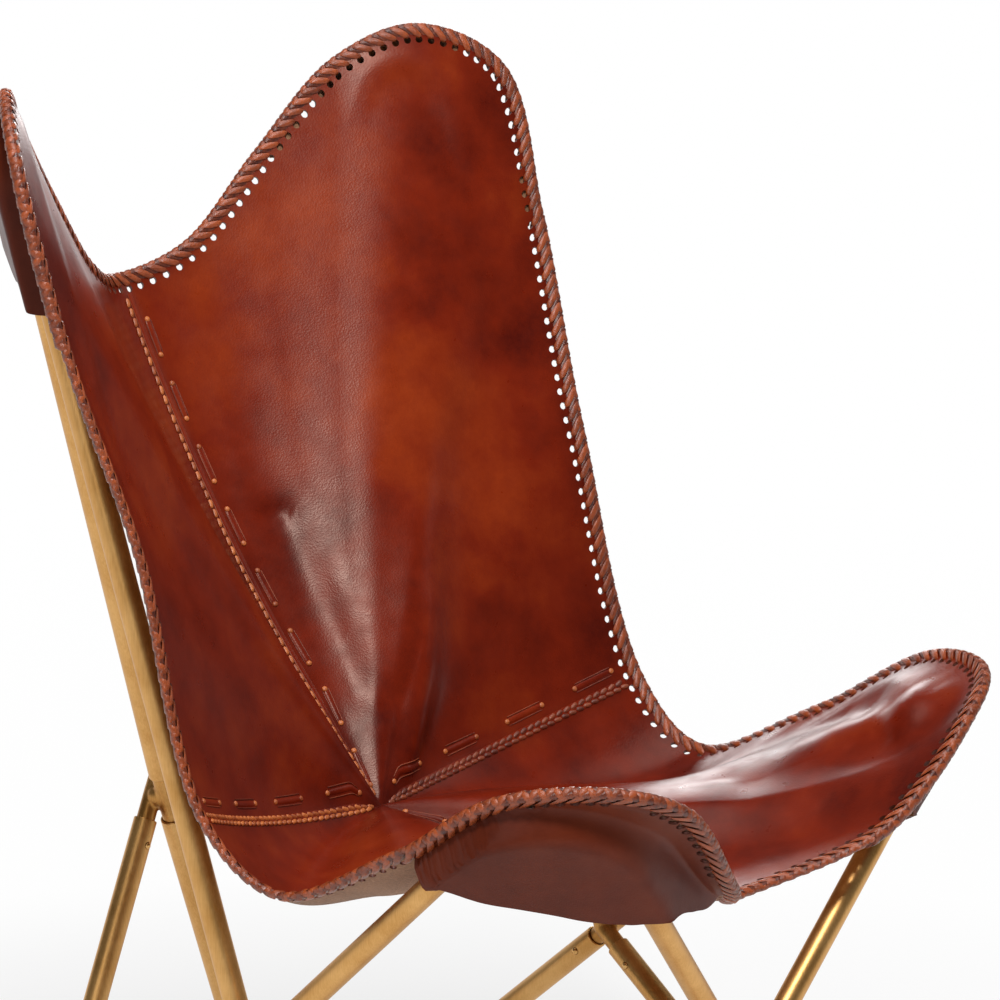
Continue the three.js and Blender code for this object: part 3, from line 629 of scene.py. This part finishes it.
def build_pocket(name, plane, k, span, tuck, mouth_rows, flip):
    """A pocket, punched with its panel; it is made on the left and may be mirrored."""
    pitch = PITCHES[k]
    first, last = (round((np.interp(t, RIM_T, RIM_S) - SEAMS_S[k]) / pitch) for t in span)
    s0, n = SEAMS_S[k] + first * pitch, last - first
    s1 = s0 + n * pitch

    def narrowed(t, r):
        """r on the laced edge as it tapers to both ends, and the share left."""
        s = np.interp(t, RIM_T, RIM_S)
        share = END_SHARE + (1 - END_SHARE) * ease(np.minimum(s - s0, s1 - s) / END_TAPER)
        return 1 - (1 - r) * share, share

    centres = s0 + (np.arange(n) + 0.5) * pitch
    t, r = band(centres, HOLE_LINE)
    lifted = pocket_spots(plane, span, tuck, t, r, np.full(n, HOLE_LINE)) - skin(t, r, -POCKET_LIFT)
    whole = np.minimum(centres - s0, s1 - centres) > END_TAPER
    is_open = whole & (length(lifted) < SKIN_GAP * 2)
    patch = Patch(SEAMS_T[k], SEAMS_T[k + 1])
    cols, edge_row = patch.punch(s0, pitch, n, POCKET_HOLE_R, is_open)
    t, start = band(cols, HOLE_LINE + CELL)
    start, _ = narrowed(t, start)
    mouth = np.minimum(np.interp(t, *mouth_line(mouth_rows).T), start - LEAST_DEPTH)
    edge_t, edge_r, gap = patch.spots()
    edge_r, share = narrowed(edge_t, edge_r)
    gap = gap * share
    laced = pocket_spots(plane, span, tuck, edge_t, edge_r, gap)
    share = np.linspace(0, 1, POCKET_ROWS)[1:, None]
    r = start + (mouth - start) * share
    depth = gap[edge_row] + (1 - r / start) * length(surface(t, start) - SEAM_CROSS)
    body = pocket_spots(plane, span, tuck, np.broadcast_to(t, r.shape), r, depth)
    grid = np.vstack([laced[edge_row][None], body])
    for _ in range(SMOOTHINGS):
        grid[1:-1, 1:-1] = (grid[1:-1, 1:-1] * 2 + grid[:-2, 1:-1] + grid[2:, 1:-1]
                            + grid[1:-1, :-2] + grid[1:-1, 2:]) / 6
    middle = np.vstack([laced, grid[1:].reshape(-1, 3)])
    last = edge_row
    for i in range(len(grid) - 1):
        row = [patch.count + i * len(cols) + j for j in range(len(cols))]
        patch.faces += [[last[j], row[j], row[j + 1], last[j + 1]] for j in range(len(cols) - 1)]
        last = row
    ups = vertex_normals(middle, patch.faces)
    lip = length(middle[:, None] - grid[-1, ::LIP_STEP]).min(axis=1)
    rubbed = np.exp(-np.concatenate([gap, depth.ravel()]) / POCKET_DARK)
    edge = np.maximum(rubbed, LIP_SHARE * np.exp(-lip / LIP_DARK))
    points, faces, slots = shell(middle + ups * POCKET / 2, middle - ups * POCKET / 2, patch.faces)
    if flip:
        points, faces = points * MIRROR, [f[::-1] for f in faces]
    pocket = make(f"leather_{name}", points, faces, (SUEDE_MAT, POCKET_MAT, EDGE_MAT), slots, SHEET_SHARP,
                  stands_for=(name,), finish="pocket",
                  attrs={"edge": np.tile(edge, 2), "tone": np.tile(edge, 2)})


build_pocket("pocket_rear_left", REAR, 0, REAR_SPAN, POCKET_TUCK, REAR_MOUTH, False)
build_pocket("pocket_rear_right", REAR, 0, REAR_SPAN, POCKET_TUCK, REAR_MOUTH, True)
build_pocket("pocket_front_left", FRONT, 1, FRONT_SPAN, POCKET_TUCK, FRONT_MOUTH + FAR_END, False)
build_pocket("pocket_front_right", FRONT, 1, FRONT_SPAN, FRONT_TUCK, FRONT_MOUTH + NEAR_END, True)


class Pile:
    """Points and faces gathered for one object."""

    def __init__(self):
        self.points, self.faces, self.tones, self.count = [], [], [], 0

    def add(self, points, faces, tone=()):
        self.points.append(points)
        self.faces += [[i + self.count for i in f] for f in faces]
        self.tones.append(tone)
        self.count += len(points)

    def make(self, name, mat, finish, stands_for=()):
        return make(name, np.vstack(self.points), self.faces, (mat,), None, SHEET_SHARP,
                    stands_for=stands_for, finish=finish,
                    attrs={"tone": np.concatenate(self.tones), "edge": np.zeros(self.count)})


CORD_SIDES, CORD_BLUNT = 8, 0.45


def tube_faces(stations, sides, base=0):
    """Side faces of a round tube whose vertices start at base."""
    rings = range(base, base + (stations - 1) * sides, sides)
    pairs = [(i + k, i + (k + 1) % sides) for i in rings for k in range(sides)]
    return [[a, b, b + sides, a + sides] for a, b in pairs]


def closed_tube(stations, sides, base=0):
    """The same with both ends closed."""
    end = base + (stations - 1) * sides
    ends = [[base + k for k in reversed(range(sides))], [end + k for k in range(sides)]]
    return tube_faces(stations, sides, base) + ends


def tube_rings(centres, up, across, width, height):
    """Flat cords that thin to both ends, one for each row of centres."""
    cords, stations = centres.shape[:2]
    fat = CORD_BLUNT + (1 - CORD_BLUNT) * np.sqrt(np.maximum(1 - np.linspace(-1, 1, stations) ** 4, 0))
    rings = circle(across * (width * fat)[:, None], up * (height * fat)[:, None], CORD_SIDES)
    points = (centres[:, :, None] + rings).reshape(-1, 3)
    bases = range(0, cords * stations * CORD_SIDES, stations * CORD_SIDES)
    return points, [f for base in bases for f in closed_tube(stations, CORD_SIDES, base)]


# Two strokes of the plaited edge, each from its hole out to the rim and tucked in behind it:
# turns along, millimetres in from the rim, height from the face, and which face
PROUD = (
    (0.06, 11.8, -1.4, 1), (-0.03, 10.6, 0.4, 1), (-0.28, 8, 1.4, 1), (-0.58, 4.8, 1.8, 1),
    (-0.86, 1.6, 1.5, 1), (-1.06, -1.3, 0.2, 0), (-1.17, 0.6, 1, -1), (-1.27, 2.8, 0.3, -1),
    (-1.33, 4, -0.8, -1),
)
LOW = (
    (0.1, 10, -1.4, 1), (0.02, 8.8, -0.2, 1), (-0.26, 6, 0.4, 1), (-0.54, 3, 0.7, 1),
    (-0.8, 0.4, 0.6, 1), (-0.94, -0.8, 0, 0),
)
# Strokes on both faces: start in turns, route, face, stations, half width, half height and painted light,
# which is low on the lower strokes as painted shade
STROKES = (
    (0, PROUD, 1, 15, 2.7, 0.9, 1), (0.5, LOW, 1, 10, 2.7, 0.75, 0.2),
    (0.5, PROUD, -1, 15, 2.9, 0.9, 0.9), (0, LOW, -1, 10, 2.9, 0.8, 0.3),
)
LEAST_TONE, LACE_STEP = 0.4, 2.0
STARTS = np.concatenate([a + (np.arange(n) + 0.5) * p for a, p, n in zip(SEAMS_S, PITCHES, CELLS)])
START_PITCH = np.repeat(PITCHES, CELLS)
START_T = np.interp(STARTS, RIM_S, RIM_T)
LACINGS = ("peak_rear_left", "side_left", "peak_front_left", "front", "peak_front_right", "side_right",
           "peak_rear_right", "back")
LACING_T = (2, 6, 10, 14, 16, 20, 24, 28, 32)


def lace_turns(starts, pitches, route, side, count, width, height, painted_light):
    """One stroke from each start, over any pocket there."""
    along_rim, inward, rise, face = through(route, count).T[:, None]
    s = starts[:, None] + along_rim * pitches[:, None]
    t, r = band(s, inward)
    at = np.interp(np.mod(starts, RIM_S[-1]), RIM_S, RIM_T)
    at = np.minimum(at, TURN - at)
    covered = np.any([(at >= a) & (at <= b) for a, b in (REAR_SPAN, FRONT_SPAN)], axis=0)
    back = np.where(covered, POCKET + SKIN_GAP, 0.0)[:, None]
    h = -back / 2 + side * np.clip(face, -1, 1) * (LEATHER / 2 + back / 2 + rise)
    centres = skin(t, r, h)
    along = unit(np.gradient(centres, axis=1))
    run = skin(*band(s + LACE_STEP, inward), h) - skin(*band(s - LACE_STEP, inward), h)
    across = unit(run - np.sum(run * along, axis=2, keepdims=True) * along)
    points, faces = tube_rings(centres, np.cross(along, across), across, width, height)
    # Each turn's random tone is scaled by its painted light, so the lower strokes are painted darker as
    # painted shade
    tone = painted_light * (LEAST_TONE + (1 - LEAST_TONE) * RANDOM.random(len(starts)))
    return points, faces, np.repeat(tone, count * CORD_SIDES)


for name, t0, t1 in zip(LACINGS, LACING_T, LACING_T[1:]):
    t = np.where(START_T < t0, START_T + TURN, START_T)
    mine = (t >= t0) & (t < t1)
    pitches = START_PITCH[mine]
    pile = Pile()
    for offset, *stroke in STROKES:
        pile.add(*lace_turns(STARTS[mine] + offset * pitches, pitches, *stroke))
    pile.make(f"thong_{name}", LACE_MAT, "lacing", (f"lacing_{name}",))


# Seams: a lapped ridge, chain stitches beside it, and straps with a dot at each end
FACE = LEATHER / 2
SEAM_STATIONS, LEAST_SPREAD, SEAM_SHORT = 600, 14.0, 4
STITCH_HALF, STITCH_STATIONS, STITCH_RISE, STITCH_BOW = 0.44, 9, 0.7, 2.4
DOT_RINGS = ((0.45, 0.92), (0.8, 0.66), (1.0, 0.2), (0.94, -0.4))
DOT_SIDES, DOT_R, DOT_HEIGHT = 10, 2.5, 1.5
THREAD_R, THREAD_RISE, STRAP_THREADS, STRAP_END = 0.5, 0.25, 12, 1
STRAP_STATIONS, STRAP_HALF, STRAP_RISE, STRAP_EDGE = 15, 2.8, 0.8, 2.6
RIDGE_PROFILE = ((0.0, -0.4), (0.02, 0.6), (0.12, 0.95), (0.5, 1.0), (0.88, 0.95), (0.98, 0.6), (1.0, -0.4))
RIDGE_STATIONS, RIDGE_TONE = 90, 0.5


class Seam:
    """Places on one seam: u out from the crossing, v across and h above the middle of the leather."""

    def __init__(self, t):
        self.t = t
        self.r = np.linspace(0, 1, SEAM_STATIONS)
        self.u = run_of(surface(t, self.r))

    def at(self, u, v, h):
        r = np.interp(u, self.u, self.r)
        width = length(surface(self.t + STEP, r) - surface(self.t - STEP, r)) / (2 * STEP)
        return skin(self.t + v / np.maximum(width, LEAST_SPREAD), r, h)

    def cords(self, u, v, h, width, height):
        """Cords along rows of (u, v, h) stations, with a tone for each."""
        v, h = np.broadcast_to(v, u.shape), np.broadcast_to(h, u.shape)
        centres = self.at(u, v, h)
        along = unit(np.gradient(centres, axis=1))
        up = self.at(u, v, h + 1.0) - centres
        up = unit(up - np.sum(up * along, axis=2, keepdims=True) * along)
        points, faces = tube_rings(centres, up, np.cross(up, along), width, height)
        return points, faces, np.repeat(RANDOM.random(len(u)), u.shape[1] * CORD_SIDES)


def chain(pile, seam, first, last, pitch, v0, v1, width, height):
    u = np.arange(first, last, pitch)
    line = np.linspace(-STITCH_HALF, STITCH_HALF, STITCH_STATIONS)
    v = v0 + (v1 - v0) * (line + STITCH_HALF) / (2 * STITCH_HALF)
    h = FACE + STITCH_RISE - STITCH_BOW * line**2
    pile.add(*seam.cords(u[:, None] + line * pitch, v, h, width, height))


def dots(pile, seam, u, v):
    foot, ahead, above = seam.at(u, v, FACE), seam.at(u + 1, v, FACE), seam.at(u, v, FACE + 1)
    along, up = unit(ahead - foot), unit(above - foot)
    rings = circle(along, np.cross(up, along), DOT_SIDES)
    faces = [[0, 1 + k, 1 + (k + 1) % DOT_SIDES] for k in range(DOT_SIDES)]
    faces += [[a, d, c, b] for a, b, c, d in tube_faces(len(DOT_RINGS), DOT_SIDES, 1)]
    faces.append([1 + (len(DOT_RINGS) - 1) * DOT_SIDES + k for k in reversed(range(DOT_SIDES))])
    for i in range(len(u)):
        points = [foot[i] + up[i] * DOT_HEIGHT]
        for share, lift in DOT_RINGS:
            points = np.vstack([points, foot[i] + rings[i] * DOT_R * share + up[i] * DOT_HEIGHT * lift])
        pile.add(points, faces, np.full(len(points), RANDOM.random()))


def fine_lines(pile, seam, u0, u1, vs, stations):
    """Raised threads along the seam at each of the vs, from every u0 to its u1."""
    u0, u1 = np.atleast_1d(u0), np.atleast_1d(u1)
    us = u0[:, None] + (u1 - u0)[:, None] * np.linspace(0, 1, stations)
    for v in vs:
        pile.add(*seam.cords(us, v, FACE + THREAD_RISE, THREAD_R, THREAD_R))


def straps(leather_pile, line_pile, tan_pile, seam, first, last, strap, gap, v):
    u = np.arange(first, last - strap, strap + gap)
    us = u[:, None] + np.linspace(0, 1, STRAP_STATIONS) * strap
    leather_pile.add(*seam.cords(us, v, FACE, STRAP_HALF, STRAP_RISE))
    sides = (v - STRAP_EDGE, v + STRAP_EDGE)
    fine_lines(line_pile, seam, u + STRAP_END, u + strap - STRAP_END, sides, STRAP_THREADS)
    dots(tan_pile, seam, np.concatenate([u, u + strap]), v)


def ridge(pile, seam, first, last, v0, v1, height):
    u = np.linspace(first, last, RIDGE_STATIONS)
    rows = [seam.at(u, v0 + (v1 - v0) * share, FACE + height * lift) for share, lift in RIDGE_PROFILE]
    sides = len(rows)
    faces = closed_tube(RIDGE_STATIONS, sides)
    if v0 < v1:
        faces = [f[::-1] for f in faces]
    pile.add(np.stack(rows, 1).reshape(-1, 3), faces, np.full(RIDGE_STATIONS * sides, RIDGE_TONE))


# The left side seam's stitches take the darker copy of the seam thong, as painted shade
for name, t, kind, towards, bead in (
        ("back", 0, "long", 1, TAN_MAT), ("left", RIM_SIDE, "side", -1, SHADED_SEAM_MAT),
        ("front", RIM_END, "long", -1, TAN_MAT), ("right", TURN - RIM_SIDE, "side", 1, TAN_MAT)):
    seam, lapped, lines, beads, tips = Seam(t), Pile(), Pile(), Pile(), Pile()
    end = seam.u[-1] - BAND - SEAM_SHORT
    if kind == "long":
        ridge(lapped, seam, 10, end, v0=towards * 0.6, v1=towards * 5.4, height=1.0)
        fine_lines(lines, seam, 12, end, vs=(towards * 0.8, towards * 5.2), stations=140)
        chain(beads, seam, 14, end, pitch=8.7, v0=-towards * 4.2, v1=-towards * 2.4, width=2.1, height=1.3)
        straps(lapped, lines, tips, seam, 20, end, strap=32, gap=26, v=towards * 12)
    else:
        ridge(lapped, seam, 10, end, v0=towards * 4.6, v1=-towards * 4.6, height=0.6)
        chain(beads, seam, 14, end, pitch=8.2, v0=1.4, v1=3.2, width=1.9, height=1.2)
        chain(beads, seam, 18, end, pitch=8.2, v0=-1.4, v1=-3.2, width=1.9, height=1.2)
        straps(lapped, lines, tips, seam, 24, end, strap=40, gap=37, v=towards * 12)
    lapped.make(f"seam_{name}", LEATHER_MAT, "leather")
    lines.make(f"lines_{name}", LINE_MAT, "lacing")
    beads.make(f"stitches_{name}", bead, "lacing")
    tips.make(f"tips_{name}", TAN_MAT, "lacing")


# Frame: tubes, connectors, snap buttons and glides
ROD_SHIFT = STUB_R - WELD_BITE / 2
# Where the tubes cross, and the way out of the chair there
X, Y, _ = np.eye(3)
CROSSINGS = {
    "rear": (REAR_CROSS, Y), "front": (FRONT_CROSS, -Y),
    "left": (SIDE_CROSS, X), "right": (SIDE_CROSS * MIRROR, -X),
}
# Any direction that no tube, stub or button follows
ASKEW = (0.31, 0.52, 0.79)
BEND_STEP = math.radians(4)
TUBE_SIDES, STUB_SIDES, BUTTON_SIDES = 30, 28, 24
TUBE_SHARP, WELD_SHARP = 35, 50


def angle_between(a, b):
    return math.acos(np.clip(unit(a) @ unit(b), -1, 1))


NARROW = angle_between(REAR_APEX - REAR_CROSS, REAR_APEX * MIRROR - REAR_CROSS)
SIDEWAYS = math.sqrt(max((2 * TUBE_R + END_CLEAR) ** 2 - (2 * ROD_SHIFT) ** 2, 2 * TUBE_R))
RIM_DISTANCE = max(SIDEWAYS / (2 * math.sin(NARROW / 2)), TUBE_R + END_CLEAR)


def list_tubes():
    """Name, corners, bend and ends of each tube; an end is a crossing, the level there and a label."""
    for row, up in (("upper", 1), ("lower", -1)):
        for end, ahead, apex, radius, foot in (
                ("rear", -1, REAR_APEX, REAR_BEND, REAR_FOOT),
                ("front", 1, FRONT_APEX, FRONT_BEND, FRONT_FOOT)):
            for side, sign in (("left", 1), ("right", -1)):
                ends = ((end, sign * up, f"{row}_{side}"), (side, ahead * up, f"{row}_{end}"))
                if row == "upper":
                    yield f"upper_tube_{end}_{side}", [apex * (sign, 1, 1)], radius, ends
                else:
                    corners = [spot(sign * x, y, BAR_Z / HEIGHT) for x, y in foot]
                    yield f"leg_{end}_{side}", corners, FOOT_BEND, ends


def bend(before, corner, after, radius):
    a, b = unit(before - corner), unit(after - corner)
    half = angle_between(a, b) / 2
    centre = corner + unit(a + b) * radius / math.sin(half)
    arm = corner + a * radius / math.tan(half) - centre
    axis = unit(np.cross(a, b))
    sweep = math.pi - 2 * half
    steps = math.ceil(sweep / BEND_STEP)
    turns = (Matrix.Rotation(-sweep * k / steps, 3, Vector(axis)) for k in range(steps + 1))
    return [centre + np.array(turn @ Vector(arm)) for turn in turns]


def carry(path):
    """Two steady side directions along a path."""
    step = np.diff(path, axis=0)
    tangent = unit(np.vstack([step[:1], unit(step[:-1]) + unit(step[1:]), step[-1:]]))
    side = np.cross(tangent[0], ASKEW)
    sides = []
    for along in tangent:
        side = unit(side - (side @ along) * along)
        sides.append(side)
    sides = np.array(sides)
    return sides, np.cross(tangent, sides)


EDGE_BREAK = 0.6


def tube_mesh(path):
    """A tube with its wall, its cut ends lightly broken."""
    path = np.array(path)
    first, last = (a + unit(b - a) * EDGE_BREAK for a, b in (path[:2], path[:-3:-1]))
    stations = np.vstack([path[0], first, path[1:-1], last, path[-1]])
    rounds = circle(*carry(stations), TUBE_SIDES)
    outer_r = np.full(len(stations), TUBE_R)
    outer_r[[0, -1]] -= EDGE_BREAK
    outer = stations[:, None] + rounds * outer_r[:, None, None]
    inner = stations[:, None] + rounds * BORE_R
    n = len(stations) * TUBE_SIDES
    end = n - TUBE_SIDES
    faces = []
    for a, b, c, d in tube_faces(len(stations), TUBE_SIDES):
        faces += [[a, b, c, d], [n + d, n + c, n + b, n + a]]
    for a in range(TUBE_SIDES):
        b = (a + 1) % TUBE_SIDES
        faces += [[n + a, n + b, b, a], [end + a, end + b, end + n + b, end + n + a]]
    return np.vstack([outer.reshape(-1, 3), inner.reshape(-1, 3)]), faces


def lathe(profile, origin, axis, sides):
    """A solid turned about an axis: (radius, height) from the bottom up, closed at both ends."""
    side = unit(np.cross(axis, ASKEW))
    ring = circle(side, np.cross(axis, side), sides)
    points = np.vstack([origin + axis * h + ring * r for r, h in profile])
    return points, closed_tube(len(profile), sides)


def carve(obj, drills, sharp):
    """Cuts round holes, then keeps the result as the object's own mesh."""
    for points, faces in drills:
        mesh = bpy.data.meshes.new("drill")
        mesh.from_pydata((points * MM).tolist(), [], faces)
        cut = obj.modifiers.new("hole", "BOOLEAN")
        cut.operation, cut.solver, cut.object = "DIFFERENCE", "EXACT", add_object("drill", mesh)
    graph = bpy.context.evaluated_depsgraph_get()
    obj.data = bpy.data.meshes.new_from_object(obj.evaluated_get(graph))
    for cut in obj.modifiers:
        if cut.type == "BOOLEAN":
            bpy.data.objects.remove(cut.object)
    obj.modifiers.clear()
    smooth(obj.data, sharp)


# Profiles turned about an axis: radius and height
DOME_TOP, DOME_RISE, SHANK_BREAK = TUBE_R + BUTTON_PROUD, 2.2, 0.3
SHANK_END = DOME_TOP - BUTTON_LENGTH
BUTTON = [
    (0.4, SHANK_END), (BUTTON_R - SHANK_BREAK, SHANK_END), (BUTTON_R, SHANK_END + SHANK_BREAK),
    *((BUTTON_R * math.cos(a), DOME_TOP - DOME_RISE + DOME_RISE * math.sin(a))
      for a in np.radians((0, 18, 36, 52, 66, 78))), (0.15, DOME_TOP),
]
STUB_FOOT, STUB_TAPER, STUB_BREAK, STUB_TIP = -3, 1.5, 1.2, RIM_DISTANCE + STUB_REACH
STUB = [(STUB_R, STUB_FOOT), (STUB_R, STUB_TIP - STUB_TAPER), (STUB_R - STUB_BREAK, STUB_TIP)]
BALL_R, BALL_POLE = 10.5, 0.5
BALL = [
    (BALL_POLE, -BALL_R),
    *((BALL_R * math.cos(a), BALL_R * math.sin(a)) for a in np.radians(range(-80, 81, 10))),
    (BALL_POLE, BALL_R),
]
DRILL_R, DRILL_OVER = BUTTON_R + BUTTON_PLAY, 2
TUBE_DRILL = [(DRILL_R, BORE_R - DRILL_OVER), (DRILL_R, TUBE_R + DRILL_OVER)]
STUB_DRILL = [(DRILL_R, HOLE_FLOOR), (DRILL_R, STUB_R + DRILL_OVER)]
WELD_VOXEL, FILLET_FACTOR, FILLET_PASSES = 1.1, 0.5, 6
GLIDE_BEVEL, GLIDE_STEPS, GLIDE_SHARP = 0.6, 2, math.radians(40)
ARMS = {name: [] for name in CROSSINGS}


def build_tube(name, corners, radius, ends):
    """A tube with its two snap buttons; notes where its stubs go."""
    roots = [CROSSINGS[c][0] + CROSSINGS[c][1] * level * ROD_SHIFT for c, level, _ in ends]
    dirs = [unit(corners[0] - roots[0]), unit(corners[-1] - roots[1])]
    stops = [roots[0] + dirs[0] * RIM_DISTANCE, *corners, roots[1] + dirs[1] * RIM_DISTANCE]
    path = [stops[0]]
    for before, corner, after in zip(stops, stops[1:], stops[2:]):
        path += bend(before, corner, after, radius)
    path.append(stops[-1])
    drills = []
    for (crossing, _, label), root, along in zip(ends, roots, dirs):
        inward = -CROSSINGS[crossing][1]
        facing = unit(inward - (inward @ along) * along)
        centre = root + along * (RIM_DISTANCE + BUTTON_INSET)
        ARMS[crossing].append((root, along, centre, facing))
        drills.append(lathe(TUBE_DRILL, centre, facing, BUTTON_SIDES))
        button = f"button_{crossing}_{label}"
        make(f"snap_{button}", *lathe(BUTTON, centre, facing, BUTTON_SIDES), (PIN_MAT,), body=button,
             stands_for=(button,), finish="button")
    tube = make(f"drawn_{name}", *tube_mesh(path), (BRASS_MAT,), None, TUBE_SHARP,
                stands_for=(name,), finish="tube")
    carve(tube, drills, TUBE_SHARP)


def build_connector(crossing, arms):
    """Four stubs brazed to a ball, with a fillet and a hole for each button."""
    pile = Pile()
    for root, along, _, _ in arms:
        pile.add(*lathe(STUB, root, along, STUB_SIDES))
    pile.add(*lathe(BALL, *CROSSINGS[crossing], STUB_SIDES))
    name = f"connector_{crossing}"
    weld = make(f"brazed_{name}", np.vstack(pile.points), pile.faces, (WELD_MAT,), stands_for=(name,),
                finish="connector")
    remesh = weld.modifiers.new("weld", "REMESH")
    remesh.mode, remesh.voxel_size = "VOXEL", WELD_VOXEL * MM
    relax = weld.modifiers.new("fillet", "SMOOTH")
    relax.factor, relax.iterations = FILLET_FACTOR, FILLET_PASSES
    drills = [lathe(STUB_DRILL, centre, facing, BUTTON_SIDES) for _, _, centre, facing in arms]
    carve(weld, drills, WELD_SHARP)
    weld.data.materials.clear()
    weld.data.materials.append(WELD_MAT)


def finish_glide(glide):
    glide.data.materials.clear()
    glide.data.materials.append(NYLON_MAT)
    soften = glide.modifiers.new("soften", "BEVEL")
    soften.width, soften.segments = GLIDE_BEVEL * MM, GLIDE_STEPS
    soften.limit_method, soften.angle_limit = "ANGLE", GLIDE_SHARP


for entry in list_tubes():
    build_tube(*entry)
for crossing, arms in ARMS.items():
    build_connector(crossing, arms)
for name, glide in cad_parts.items():
    if name.startswith("glide"):
        finish_glide(glide)


# Stage, light and camera, in metres
FLOOR_REACH = 14.0
FLOOR_GREY, WHITE = (0.9, 0.9, 0.9, 1), (1, 1, 1, 1)
AMBIENT = 0.14
# Way from the chair to the white backdrop that glossy surfaces see
BACKDROP = (0.673, 0.740, 0)
# Lamps: place, aim, size and watts
LAMPS = (
    ("key", (-1.5, -1.13, 2.82), (0.07, 0.13, 0.47), (0.5, 0.5), 58),
    ("top", (0, 0, 3.4), (0, 0, 0.4), (2.2, 2.2), 48),
    ("side", (2.1, -1.5, 2.0), (0, 0, 0.5), (1.2, 1.2), 5),
    ("near", (-3.0, -0.6, 1.4), (0, 0, 0.5), (1.2, 1.6), 10),
    ("rear", (2.64, 1.75, 1.2), (0.22, -0.15, 0.35), (1.1, 0.7), 14),
)


def stage_material():
    """Pale floor that fades to white away from the chair and keeps its shadow."""
    mat = bpy.data.materials.new("white_floor")
    mat.use_nodes = True
    mat.node_tree.nodes.clear()
    n = Nodes(mat.node_tree, "Object")
    rays = n.add("LightPath").outputs
    away = n.add("VectorMath", {0: n.where}, operation="LENGTH").outputs["Value"]
    near = n.between(away, (0.4, 1.1), (0.6, 0.97))
    far = n.between(away, (1.1, 3.0), (0.0, 0.03))
    distant = n.between(away, (2.5, 4.0), (0.0, 1.0))
    ahead = n.add("SeparateXYZ", {0: n.where}).outputs["Y"]
    forward = n.between(ahead, (-0.2, 1.2), (1.0, 0.0))
    lit = n.calc("SUBTRACT", 1.0, n.calc("MULTIPLY", distant, forward))
    direct = n.calc("MAXIMUM", rays["Is Camera Ray"], n.calc("MULTIPLY", rays["Is Glossy Ray"], lit))
    share = n.calc("MULTIPLY", direct, n.calc("ADD", near, far))
    plain = n.add("BsdfDiffuse", {"Color": FLOOR_GREY}).outputs[0]
    glow = n.add("Emission", {"Color": WHITE, "Strength": 1.0}).outputs[0]
    n.add("OutputMaterial", {0: n.add("MixShader", {0: share, 1: plain, 2: glow}).outputs[0]})
    return mat


def build_stage():
    corners = [(x * FLOOR_REACH, y * FLOOR_REACH, 0) for x, y in ((-1, -1), (1, -1), (1, 1), (-1, 1))]
    mesh = bpy.data.meshes.new("floor")
    mesh.from_pydata(corners, [], [[0, 1, 2, 3]])
    mesh.materials.append(stage_material())
    floor = add_object("floor", mesh)


def build_world():
    """Dim light all round, white to the camera and, low behind the chair, to glossy surfaces."""
    world = bpy.data.worlds.new("studio")
    bpy.context.scene.world = world
    world.use_nodes = True
    n = Nodes(world.node_tree, "Generated")
    rays = n.add("LightPath").outputs
    seen = n.calc("MAXIMUM", rays["Is Camera Ray"], rays["Is Transmission Ray"])
    behind = n.add("VectorMath", {0: n.where, 1: BACKDROP}, operation="DOT_PRODUCT").outputs["Value"]
    height = n.add("SeparateXYZ", {0: n.where}).outputs["Z"]
    across = n.between(behind, (0.6, 0.78), (0.0, 1.0))
    upward = n.between(height, (0.24, 0.36), (1.0, 0.0))
    mirrored = n.calc("MULTIPLY", n.calc("MULTIPLY", across, upward), rays["Is Glossy Ray"])
    white = n.scaled(n.calc("MAXIMUM", seen, mirrored), by=1 - AMBIENT, plus=AMBIENT)
    sky = n.tree.nodes["Background"].inputs
    sky["Color"].default_value = WHITE
    n.tree.links.new(white, sky["Strength"])


def build_lamp(name, spot_m, aim_m, size, watts):
    light = bpy.data.lights.new(name, "AREA")
    light.shape, light.size, light.size_y = "RECTANGLE", *size
    light.energy = watts
    lamp = add_object(name, light)
    lamp.location = spot_m
    lamp.rotation_euler = (Vector(aim_m) - Vector(spot_m)).to_track_quat("-Z", "Y").to_euler()
    lamp.visible_camera = False


def build_camera():
    turn, tilt = math.radians(54.286), math.radians(12.899)
    focal_px, centre_x, centre_y, frame_px = 6042.338, 455.667, 678.709, 1000.0
    data = bpy.data.cameras.new("camera")
    data.sensor_width, data.clip_end = 36.0, 100
    data.lens = focal_px / frame_px * data.sensor_width
    data.shift_x = (frame_px / 2 - centre_x) / frame_px
    data.shift_y = (centre_y - frame_px / 2) / frame_px
    camera = add_object("camera", data)
    level = math.cos(tilt)
    forward = Vector((math.sin(turn) * level, math.cos(turn) * level, -math.sin(tilt)))
    camera.location = (-3.89512, -2.79133, 1.54866)
    camera.rotation_euler = forward.to_track_quat("-Z", "Y").to_euler()
    bpy.context.scene.camera = camera


build_stage()
build_world()
for entry in LAMPS:
    build_lamp(*entry)
build_camera()
bpy.context.scene.view_settings.view_transform = "Standard"
